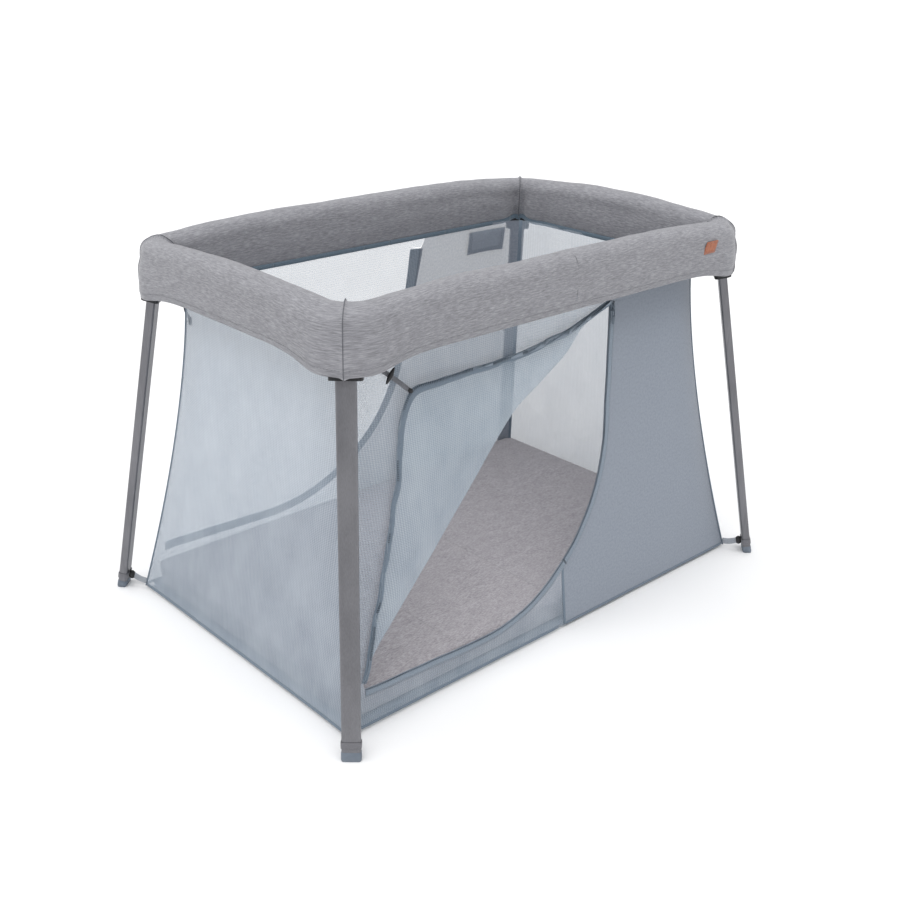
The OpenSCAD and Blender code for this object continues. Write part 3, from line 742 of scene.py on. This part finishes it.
def zip_line(steps=18):
    """The door zipper on the wall, from its top: straight, round the bend and straight."""
    a, c, b = Vector(ZIP_TOP), Vector(ZIP_CORNER), Vector(ZIP_END)
    u, v = (a - c).normalized(), (b - c).normalized()
    half = math.acos(u.dot(v)) / 2
    centre = c + (u + v).normalized() * ZIP_R / math.sin(half)
    start = c + u * ZIP_R / math.tan(half)
    begin = math.atan2(start.y - centre.y, start.x - centre.x)
    angles = [begin - (math.pi - 2 * half) * i / steps for i in range(steps + 1)]
    return [a] + [centre + ZIP_R * Vector((math.cos(t), math.sin(t))) for t in angles] + [b]


def part_of(line, test):
    return [p for p in line if test(p)]


def crossing(line, x):
    """The height where a line first crosses x."""
    for p, q in zip(line, line[1:]):
        if (p.x - x) * (q.x - x) <= 0 and p.x != q.x:
            return p.y + (q.y - p.y) * (x - p.x) / (q.x - p.x)
    return line[-1].y


def corner_edge(way, axis=0, rows=22):
    """The wall's curved side edge, from the top down."""
    out = []
    for i in range(rows + 1):
        z = WALL_TOP + (WALL_FOOT - WALL_TOP) * i / rows
        out.append(Vector((way * seam_at(z)[axis], z)))
    return out


def cloth(name, outline, place, material, step):
    """A piece of cloth from its flat outline, laid where place puts each point."""
    outline = evened(outline, step)
    flat, faces = filled(outline, step)
    shape = Shape()
    shape.add([place(p[0], p[1]) for p in flat], faces, 0, [tuple(p) for p in flat])
    piece = shape.make(name, material)
    width = max(p[0] for p in outline) - min(p[0] for p in outline)
    height = max(p[1] for p in outline) - min(p[1] for p in outline)
    min(outline_area([tuple(p) for p in outline]), 0.999 * width * height)
    return piece


def door_fold(side):
    """The line that the doorway ends at, from the top down."""
    return smooth_line(FOLD_LINE, 8) if side == FRONT else \
        [Vector(p) for p in ((0.138, 0.545), *REAR_FOLD, ZIP_END)]


def make_long_wall(side):
    word = long_word(side)
    fold, zipper = door_fold(side), zip_line()
    fold_at, zip_at = ((PANEL_SEAM_X, crossing(line, PANEL_SEAM_X)) for line in (fold, zipper))
    seam_foot = (PANEL_SEAM_X, WALL_FOOT)

    def panel(name, outline, material, step):
        return cloth(f"{word}_{name}", outline, lambda x, z: long_wall(x, z, 0.0, side), material, step)

    left = lambda line: part_of(line, lambda p: p.x < PANEL_SEAM_X)
    right = lambda line: part_of(line, lambda p: p.x > PANEL_SEAM_X)
    outline = [(-SEAM_TOP[0], WALL_TOP), (PANEL_SEAM_X, WALL_TOP), fold_at] + left(fold) \
        + left(zipper)[::-1] + [zip_at, seam_foot] + corner_edge(LEFT)[::-1][:-1]
    settle(panel("mesh_left", outline, LIGHT_MESH, 0.014), "left_end", LEFT,
           "mesh", f"{word}_wall_left", "corner_panels_left")

    outline = [(PANEL_SEAM_X, WALL_TOP), fold_at] + right(fold)[::-1] + [(DENSE_TOP_X, WALL_TOP)]
    settle(panel("mesh_right", outline, LIGHT_MESH, 0.012), "right_end", RIGHT, "mesh")

    outline = [(DENSE_TOP_X, WALL_TOP)] + right(zipper) + [zip_at, seam_foot] + corner_edge(RIGHT)[::-1]
    # the rear wall's dense cloth is the copy with painted backlight
    settle(panel("cloth_right", outline, DENSE if side == FRONT else DENSE_SEE_THROUGH_PAINTED_BACKLIGHT, 0.014), "right_end", RIGHT,
           "dense_cloth", f"{word}_wall_right", "corner_panels_right")


def make_end_wall(side):
    word = end_word(side)
    outline = corner_edge(RIGHT, 1) + corner_edge(LEFT, 1)[::-1]
    piece = cloth(f"{word}_end_mesh", outline, lambda y, z: end_wall(y, z, 0.0, side), END_MESH, 0.014)
    settle(piece, f"{word}_end", side, "mesh", f"wall_{word}")


def make_tub_seams(side):
    """Piping down the corner seams and tape round the foot, for one end."""
    word = end_word(side)
    shape = Shape()
    foot_z, foot_out, first = 0.0075, 0.0004, PANEL_SEAM_X + 0.001
    for y in (FRONT, REAR):
        line = [long_wall(p.x, p.y, 0.0, y) for p in corner_edge(side)]
        shape.sweep(line, oval(0.0075, 0.0026), Vector((side, y, 0.15)).normalized(), 0)
        foot = [long_wall(side * (first + (SEAM_FOOT[0] - first) * i / 40), foot_z, foot_out, y)
                for i in range(41)]
        shape.sweep(foot, oval(0.0050, 0.0016), wall_normal(y), 0)
    foot = [end_wall(SEAM_FOOT[1] * (i / 20 - 1), foot_z, foot_out, side) for i in range(41)]
    shape.sweep(foot, oval(0.0050, 0.0016), Vector((side, 0, 0.15)), 0)
    settle(shape.make(f"tub_seams_{word}", TAPE), f"{word}_end", side, "zip_tape")


def make_panel_seams():
    """The felled seam between the light mesh and the dense cloth."""
    foot, top = 0.006, crossing(zip_line(), PANEL_SEAM_X) - 0.012
    for side in (FRONT, REAR):
        shape = Shape()
        line = [long_wall(PANEL_SEAM_X, foot + (top - foot) * i / 14, 0.0005, side) for i in range(15)]
        shape.sweep(line, oval(0.0055, 0.0016), wall_normal(side), 0)
        settle(shape.make(f"{long_word(side)}_panel_seam", TAPE), "right_end", RIGHT, "zip_tape")


# ---- doors and zippers ----

def flap_point(t, w, free, fold):
    """A point on the open door and its height off the wall: point number t from the zipper's top, and w from
    the fold (0) to the free edge (1)."""
    p, q = fold[t], free[t]
    at = p.lerp(q, w)
    share = t / (len(fold) - 1)
    wide = math.sin(math.pi * share) ** 0.6
    rise = 0.0025 + 0.005 * (1 - math.exp(-w * 9)) * wide
    rise += 0.010 * wide * math.sin(math.pi * min(w * 1.02, 1.0)) * (0.8 + 0.2 * math.sin(9 * share))
    rise += 0.0012 * wide * math.sin(34 * share + 5 * w) * w
    edge = math.exp(-((1 - w) / 0.05) ** 2)
    rise += edge * (0.0015 + 0.0016 * math.sin(share * 61) + 0.001 * math.sin(share * 97 + 1))
    return at, rise


def make_open_door():
    """The door folded back outside the wall and tied up, with its half of the zipper round the free edge."""
    count, across = 120, 30
    free, fold = spaced(smooth_line(FREE_EDGE), count), spaced(smooth_line(FOLD_LINE), count)
    rows, weave = [], []
    for t in range(count):
        row, flat = [], []
        for k in range(across + 1):
            w = (k / across) ** 1.25
            at, rise = flap_point(t, w, free, fold)
            row.append(long_wall(at.x, at.y, rise))
            flat.append((at.x, at.y))
        rows.append(row)
        weave.append(flat)
    under = [long_wall(p.x, p.y, -0.0004) for p in fold]
    shape = Shape()
    shape.grid([[u] + r for u, r in zip(under, rows)], 0, [[w[0]] + w for w in weave])
    door = shape.make("front_door_mesh", DOOR_MESH)
    settle(door, "front_door", LEFT, "mesh", "front_door")

    edge, inner = Shape(), []
    normal = wall_normal(FRONT)
    for t in range(count):
        at, rise = flap_point(t, 0.965, free, fold)
        inner.append(long_wall(at.x, at.y, rise + 0.0009))
    rim = [r[-1] + normal * 0.0012 for r in rows]
    edge.sweep(inner, oval(0.0105, 0.0011), normal, 0)
    # the tape twists into a thick roll beside the zipper's top and thins to a flat edge past it
    sideways = Vector((1, 0, 0))
    twist = [normal * math.cos(t * 0.5) + sideways * math.sin(t * 0.5) for t in range(count)]
    roll = lambda t: 0.45 + 0.9 * math.exp(-((t - 0.16) / 0.13) ** 2)
    edge.sweep(rim, oval(0.0066, 0.0046, 10), twist, 2, scale=roll)
    for start in (0, math.pi):
        cord = []
        for t, p in enumerate(rim):
            a, r = t * 0.42 + start, 0.0030 * roll(t / count)
            cord.append(p + normal * r * math.sin(a) + Vector((0, 0, r * math.cos(a))))
        edge.sweep(cord, ring(0.0007, 6), sideways, 0)
    teeth = spaced(rim, round(length(rim) / TOOTH_PITCH))
    for i, (p, q) in enumerate(zip(teeth, teeth[1:])):
        if noise.noise(Vector((i * 0.11, 0.5, 9.0))) >= 0.08:
            tooth(edge, p, q, normal, 0.0026, 0.0042)
    settle(edge.make("front_door_zip", TAPE, TEETH, ROLL), "front_door", LEFT, "zip_tape")


def make_closed_door():
    inset = Vector((-0.0012, 0.0012))
    outline = [p + inset for p in zip_line()] + [Vector(p) for p in REAR_FOLD[::-1]]
    door = cloth("rear_door_mesh", outline, lambda x, z: long_wall(x, z, 0.0, REAR), LIGHT_MESH, 0.014)
    settle(door, "rear_door", LEFT, "mesh", "rear_door")


def asides(line):
    """Directions across a flat line, one for each point."""
    ways = [q - p for p, q in zip(line[:1] + line, line[1:] + line[-1:])]
    return [Vector((-w.y, w.x)).normalized() for w in ways]


def make_zip_tapes(side):
    """The wall's half of the zipper with its guard, on the left and on the right of the panel seam."""
    word, normal = long_word(side), wall_normal(side)
    wide = 0.0135 if side == FRONT else 0.017
    whole = spaced(zip_line(), 240)
    parting = next(i for i, p in enumerate(whole) if p.x < PANEL_SEAM_X)
    for way, body, flat in ((LEFT, "left_end", whole[parting - 1:]),
                            (RIGHT, "right_end", whole[:parting + 1])):
        def beside(across, out):
            moved = [p + aside * across for p, aside in zip(flat, asides(flat))]
            return [long_wall(p.x, p.y, out, side) for p in moved]

        shape = Shape()
        broad = None if side == FRONT or way == LEFT else lambda t: 1.9 - 0.9 * min(t * 2.2, 1.0)
        shape.sweep(beside(wide / 2 * (1 if side == FRONT else -1), 0.0016), oval(wide, 0.0013), normal, 0,
                    scale=broad)
        teeth = beside(0.001, 0.0022)
        shape.sweep(teeth, oval(0.0017, 0.0016), normal, 1)
        small = spaced(teeth, round(length(teeth) / TOOTH_PITCH))
        for p, q in zip(small, small[1:]):
            tooth(shape, p, q, normal, 0.0008, 0.0030)
        shape.stitches(beside(wide - 0.0025, 0.0026), normal, 0.0034, 0.0022, 0.0003, 2)
        piece = shape.make(f"{word}_zip_{end_word(way)}", ROLL if side == FRONT else STRIP, TEETH, THREAD)
        settle(piece, body, way, "zip_tape", *([f"{word}_zip_tape"] if way == LEFT else []))


def make_slider(side):
    """Zip slider with a bridge, and its pull tab on a wire loop."""
    word, normal = long_word(side), wall_normal(side)
    first, second = (long_wall(p.x, p.y, 0, side) for p in zip_line()[:2])
    down = (second - first).normalized()
    at = long_wall(ZIP_TOP[0] + 0.0035, ZIP_TOP[1] - 0.008, 0.0035, side)
    shape = Shape()
    body = [at + down * (0.013 * (i / 8 - 0.5)) for i in range(9)]
    shape.sweep(body, oval(0.0085, 0.0036), normal, 0, scale=lambda t: 0.78 + 0.34 * abs(2 * t - 0.9))
    bridge = [at + down * (0.0085 * (i / 8 - 0.5)) + normal * (0.0018 + 0.0026 * math.sin(math.pi * i / 8))
              for i in range(9)]
    shape.sweep(bridge, oval(0.0026, 0.0011), normal, 0)
    settle(shape.make(f"{word}_slider", TEETH), f"{word}_slider", RIGHT, "zip_metal", f"{word}_zip_slider")
    pull = Shape()
    top = at + normal * 0.0040
    loop = [top + down * (0.002 + 0.0125 * (1 - math.cos(a))) + Vector((0.0028 * math.sin(a), 0, 0))
            for a in [2 * math.pi * i / 24 for i in range(24)]]
    pull.sweep(loop, ring(0.0007, 8), normal, 0, closed=True)
    tab = [top + down * (0.0135 + 0.0125 * i / 8) for i in range(9)]
    pull.sweep(tab, oval(0.0062, 0.0015), normal, 0,
               scale=lambda t: 0.62 + 0.5 * math.sin(math.pi * min(t + 0.12, 1)) ** 0.5)
    settle(pull.make(f"{word}_pull", TEETH), f"{word}_pull", RIGHT, "zip_metal", f"{word}_zip_pull")


# ---- ties ----

def bead_width(t):
    return 0.45 + 0.62 * math.sin(math.pi * min(max(t, 0.06), 0.94)) ** 0.5


def make_ties():
    normal = wall_normal(FRONT)
    a, b = long_wall(*TIE_TOP, 0.010), long_wall(*TIE_END, 0.0105)
    line = [a.lerp(b, i / 24) + normal * 0.004 * math.sin(math.pi * i / 24) for i in range(25)]
    shape = Shape()
    shape.sweep(line, oval(0.0072, 0.0018), normal, 0)
    way = (b - a).normalized()
    bead = [b + way * (0.008 * i / 8 - 0.003) for i in range(9)]
    shape.sweep(bead, oval(0.0064, 0.0056), normal, 1, scale=bead_width)
    settle(shape.make("front_tie", WEBBING, BLACK), "left_end", LEFT, "webbing", "front_tie_strap")

    toggle = Shape()
    low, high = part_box("front_tie_toggle")
    along = ((low + high) / 2 - a).dot(way) + TOGGLE_DOWN
    at = line[round(24 * along / (b - a).length)] + normal * 0.0016
    across = way.cross(normal).normalized()
    lens = [at + across * (0.026 * (i / 16 - 0.5)) for i in range(17)]
    toggle.sweep(lens, oval(0.0068, 0.0042), normal, 0,
                 scale=lambda t: 0.25 + 0.75 * math.sin(math.pi * min(max(t, 0.0), 1.0)) ** 0.8)
    settle(toggle.make("tie_toggle_lens", BLACK), "tie_toggle", LEFT, "black_plastic", "front_tie_toggle")

    rear = Shape()
    normal = wall_normal(REAR)
    top = long_wall(TIE_TOP[0] - 0.008, TIE_TOP[1], 0.0035, REAR)
    top += normal * 0.004
    hang = [top + Vector((0.003 * math.sin(i * 0.30), 0.003 * math.sin(i * 0.2), -0.048 * i / 24))
            for i in range(25)]
    rear.sweep(hang, oval(0.0044, 0.0016), normal, 0)
    bead = [hang[-1] + Vector((0, 0, 0.004 - 0.013 * i / 8)) for i in range(9)]
    rear.sweep(bead, oval(0.0056, 0.0050), normal, 1, scale=bead_width)
    settle(rear.make("rear_tie", WEBBING, BLACK), "left_end", LEFT, "webbing", "rear_tie_strap")


# ---- floor, mattress and pocket ----

def pad(name, x0, x1, half_y, low, high, round_left, round_right, corner_r, material, lip, dome, step=0.012):
    """A flat pad with rounded outer edges. A side that meets the next pad has only a fine crease."""
    outline = []
    left_r, right_r = corner_r if round_left else 0.002, corner_r if round_right else 0.002
    for sx, sy, r, a in ((1, 1, right_r, 0), (-1, 1, left_r, 90),
                         (-1, -1, left_r, 180), (1, -1, right_r, 270)):
        cx, cy = (x1 if sx > 0 else x0) - sx * r, sy * (half_y - r)
        outline += [(cx + r * math.cos(math.radians(a + b)), cy + r * math.sin(math.radians(a + b)))
                    for b in range(0, 91, 15)]
    outline = [tuple(p) for p in evened(outline, step)]

    def inset(d):
        left, right = d * (1 if round_left else 0.01), d * (1 if round_right else 0.01)
        return [(min(max(x, x0 + left), x1 - right), min(max(y, -half_y + d), half_y - d))
                for x, y in outline]

    def height(x, y):
        edge = min(half_y - abs(y), (x - x0) if round_left else 1, (x1 - x) if round_right else 1)
        crease = min(1 if round_left else x - x0, 1 if round_right else x1 - x)
        z = high - lip * math.exp(-(edge / (lip * 1.1)) ** 2) * 0.5
        z -= 0.0003 * math.exp(-(crease / 0.0012) ** 2)
        return z + dome * (1 - math.exp(-edge / 0.05)) + ripple(x * 1.2, y * 1.5, 51.0, 0.0009) * (dome > 0)

    shape = Shape()
    rows = [[Vector((x, y, z)) for x, y in inset(d)]
            for d, z in ((lip * 0.5, low), (lip * 0.1, low + lip * 0.3), (0, low + lip * 0.8),
                         (0, high - lip * 1.3), (lip * 0.12, high - lip * 0.75),
                         (lip * 0.42, high - lip * 0.25))]
    top = inset(lip)
    rows.append([Vector((x, y, height(x, y))) for x, y in top])
    shape.grid(rows, 0, closed=True)
    flat, faces = filled(top, step)
    shape.add([(p[0], p[1], height(p[0], p[1])) for p in flat], faces)
    under, faces = filled(inset(lip * 0.5), 0.05)
    shape.add([(p[0], p[1], low) for p in under], [f[::-1] for f in faces])
    piece = shape.make(name, material)
    weld(piece)
    return piece


def weld(piece):
    """Joins points that lie on each other."""
    bm = bmesh.new()
    bm.from_mesh(piece.data)
    bmesh.ops.remove_doubles(bm, verts=bm.verts, dist=0.00004)
    bmesh.ops.recalc_face_normals(bm, faces=bm.faces)
    bm.to_mesh(piece.data)
    bm.free()
    piece.data.set_sharp_from_angle(angle=math.radians(55))


def make_mattress():
    wide, gap = MATTRESS_X / 2, 0.00005
    for i in range(4):
        x0 = -MATTRESS_X + i * wide
        piece = pad(f"mattress_{i + 1}", x0 + gap, x0 + wide - gap, MATTRESS_Y, MATTRESS_LOW, MATTRESS_HIGH,
                    i == 0, i == 3, corner_r=0.030, material=MATTRESS_KNIT, lip=0.009, dome=0.0012)
        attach(piece, f"mattress_{i + 1}")
        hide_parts(f"mattress_panel_{i + 1}")


def make_floor():
    low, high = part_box("floor_panel")
    for side in (LEFT, RIGHT):
        word = end_word(side)
        x0, x1 = sorted((0.0, side * high.x))
        piece = pad(f"floor_{word}", x0, x1, high.y, low.z, high.z, side == LEFT, side == RIGHT,
                    corner_r=0.012, material=BASE_CLOTH, lip=0.003, dome=0.0, step=0.03)
        settle(piece, f"{word}_end", side, "base_cloth", *(["floor_panel"] if side == LEFT else []))


def make_pocket():
    """Stitched flap inside the rear wall."""
    low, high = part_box("pocket_flap")
    shape = Shape()
    columns, lines = 24, 12
    front, weave = [], []
    for j in range(lines + 1):
        z = low.z + (high.z - low.z) * j / lines
        front.append([])
        weave.append([])
        for i in range(columns + 1):
            x = low.x + (high.x - low.x) * i / columns
            puff = 0.0016 * math.sin(math.pi * i / columns) ** 0.4 * math.sin(math.pi * j / lines) ** 0.4
            front[-1].append(long_wall(x, z, -0.0042 - puff + ripple(x * 4, z * 4, 71.0, 0.001), REAR))
            weave[-1].append((x, z))
    shape.grid(front, 0, weave)
    normal = -wall_normal(REAR)
    for inset in (0.004, 0.0075):
        x0, x1, z0, z1 = low.x + inset, high.x - inset, low.z + inset, high.z - 0.002
        path = [(x0, z1), (x0, z0), (x1, z0), (x1, z1)]
        for (ax, az), (bx, bz) in zip(path, path[1:]):
            line = [long_wall(ax + (bx - ax) * i / 12, az + (bz - az) * i / 12, -0.0062, REAR)
                    for i in range(13)]
            shape.stitches(line, normal, 0.0046, 0.003, 0.0004, 1)
    flap = shape.make("pocket", DENSE, TAPE)
    settle(flap, "right_end", RIGHT, "dense_cloth", "pocket_flap")


# ---- straps from the tub to the feet ----

def leg_frame(x, y, along):
    """A matrix from the leg's own axes, with Z up the leg, to the frame."""
    at = Matrix.Translation((FOOT_X, FOOT_Y, 0)) @ Matrix.Rotation(LEG_AZIMUTH, 4, "Z") \
        @ Matrix.Rotation(-LEG_LEAN, 4, "Y") @ Matrix.Translation((0, 0, along))
    return Matrix.Diagonal((x, y, 1, 1)) @ at


def leg_outline(grow):
    """The leg's section grown by a margin, as points across its thickness and width."""
    half_t, half_w, r = LEG_T / 2 + grow, LEG_W / 2 + grow, 0.004
    return [Vector((cx * (half_t - r) + r * math.cos(math.radians(a + b)),
                    cy * (half_w - r) + r * math.sin(math.radians(a + b)), 0))
            for cx, cy, a in ((1, 1, 0), (-1, 1, 90), (-1, -1, 180), (1, -1, 270))
            for b in (0, 22, 45, 67, 90)]


def make_foot_caps(x):
    """A shallow plastic shoe on each leg, cut level with the ground."""
    word, shape = end_word(x), Shape()
    for y in (FRONT, REAR):
        rows = []
        for along, grow in ((-0.002, 0.0002), (0.0012, 0.0010), (CAP_TALL, 0.0008),
                            (CAP_TALL + 0.001, 0.0002), (CAP_TALL + 0.001, -0.0008)):
            m = leg_frame(x, y, along)
            rows.append([Vector((p.x, p.y, max(p.z, 0.0))) for p in (m @ q for q in leg_outline(grow))])
        start, count = len(shape.points), len(rows[0])
        shape.grid(rows, 0, closed=True)
        shape.faces.append(tuple(range(start, start + count)))
        shape.slots.append(0)
    cap = shape.make(f"foot_shoes_{word}", CAP_PLASTIC)
    cap.data.set_sharp_from_angle(angle=math.radians(50))
    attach(cap, f"{word}_end")
    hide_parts(f"foot_caps_{word}")


def make_foot_straps(x):
    word = end_word(x)
    loops, hooks, gap = Shape(), Shape(), 0.0008
    half_t, half_w, path = LEG_T / 2 + gap, LEG_W / 2 + gap, leg_outline(gap)
    for y in (FRONT, REAR):
        m = leg_frame(x, y, STRAP_AT)
        turn = m.to_3x3()
        outs = [(turn @ Vector((p.x / half_t, p.y / half_w, 0))).normalized() for p in path]
        loops.sweep([m @ p for p in path], oval(0.011, 0.0011), outs, 0, closed=True)
        inner = m @ Vector((-half_t - 0.0085, 0, 0.0))
        corner = Vector((x * (SEAM_FOOT[0] - 0.002), y * (SEAM_FOOT[1] + 0.0005), 0.013))
        flat = (turn @ Vector((0, 1, 0))).normalized()
        tab = [inner.lerp(corner, i / 10) + Vector((0, 0, -0.002 * math.sin(math.pi * i / 10)))
               for i in range(11)]
        loops.sweep(tab, oval(0.013, 0.0015), flat, 1)
        # the hook: a body with a bent tongue through the loop
        body = [m @ Vector((-half_t - 0.0002 - 0.010 * i / 6, 0, 0)) for i in range(7)]
        hooks.sweep(body, oval(0.0175, 0.0055), flat, 0, scale=lambda t: 0.72 + 0.3 * math.sin(math.pi * t))
        tongue = [m @ Vector((-half_t - 0.002 - 0.0052 * math.cos(a), 0.0038 * math.sin(a), 0.0))
                  for a in [math.pi * i / 10 - math.pi / 2 for i in range(11)]]
        hooks.sweep(tongue, oval(0.010, 0.0014), (turn @ Vector((1, 0, 0))).normalized(), 0)
    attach(loops.make(f"foot_straps_{word}", LEG_WEBBING, PALE_WEBBING), f"{word}_end")
    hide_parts(f"floor_straps_{word}")
    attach(hooks.make(f"foot_hooks_{word}", BLACK), f"{word}_end")
    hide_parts(f"strap_hooks_{word}")


# ---- stage, light and camera ----

FLOOR_SIZE, FLOOR_Z = 80.0, -0.0005
SKY_COLOUR, SKY_STRENGTH = (0.98, 0.985, 1.0, 1), 0.46
SUN_ENERGY, SUN_SPREAD, SUN_WAY = 2.7, math.radians(80), (0.14, 0.02, -1)
CAMERA_AT = (-1.2829, -1.3882, 1.0490)
CAMERA_TURNS = (42.41, 30.82, 0.76)              # azimuth, fall and roll in degrees
CAMERA_LENS, CAMERA_SHIFT = 44.244, (0.0116667, 0.1666667)    # for a sensor 36 mm wide


def make_stage():
    ground = Shape()
    corners = [(x * FLOOR_SIZE, y * FLOOR_SIZE, FLOOR_Z) for x, y in ((-1, -1), (1, -1), (1, 1), (-1, 1))]
    ground.add(corners, [(0, 1, 2, 3)])
    m = Nodes("pale_floor", 0.9, Specular_IOR_Level=0.15)
    tones = [(0.3, (0.90, 0.90, 0.905, 1)), (0.7, (0.93, 0.93, 0.93, 1))]
    m.set("Base Color", m.ramp(m.noise((3, 3, 3), 2.0), tones))
    ground.make("floor_plane", m.material)
    world = bpy.data.worlds.new("studio")
    bpy.context.scene.world = world
    world.use_nodes = True
    back = next(n for n in world.node_tree.nodes if n.type == "BACKGROUND")
    back.inputs[0].default_value = SKY_COLOUR
    back.inputs[1].default_value = SKY_STRENGTH
    light = bpy.data.lights.new("ceiling", "SUN")
    light.energy, light.angle = SUN_ENERGY, SUN_SPREAD
    lamp = bpy.data.objects.new("ceiling", light)
    lamp.rotation_euler = Vector(SUN_WAY).to_track_quat("-Z", "Y").to_euler()
    bpy.context.scene.collection.objects.link(lamp)
    bpy.context.scene.view_settings.view_transform = "Standard"


def make_camera():
    azimuth, fall, roll = (math.radians(a) for a in CAMERA_TURNS)
    camera = bpy.data.cameras.new("camera")
    camera.sensor_width, camera.lens = 36, CAMERA_LENS
    camera.shift_x, camera.shift_y = CAMERA_SHIFT
    camera.clip_start, camera.clip_end = 0.05, 60
    eye = bpy.data.objects.new("camera", camera)
    eye.location = CAMERA_AT
    away = Vector((math.sin(azimuth) * math.cos(fall), math.cos(azimuth) * math.cos(fall), -math.sin(fall)))
    turn = away.to_track_quat("-Z", "Y").to_matrix().to_4x4() @ Matrix.Rotation(roll, 4, "Z")
    eye.rotation_euler = turn.to_euler()
    bpy.context.scene.collection.objects.link(eye)
    bpy.context.scene.camera = eye


make_stage()
make_camera()
make_covers()
make_tag()
for wall in (FRONT, REAR):
    make_long_wall(wall)
    make_zip_tapes(wall)
    make_slider(wall)
for end in (LEFT, RIGHT):
    make_end_wall(end)
    make_tub_seams(end)
    make_foot_straps(end)
    make_foot_caps(end)
make_panel_seams()
make_open_door()
make_closed_door()
make_ties()
make_floor()
make_mattress()
make_pocket()
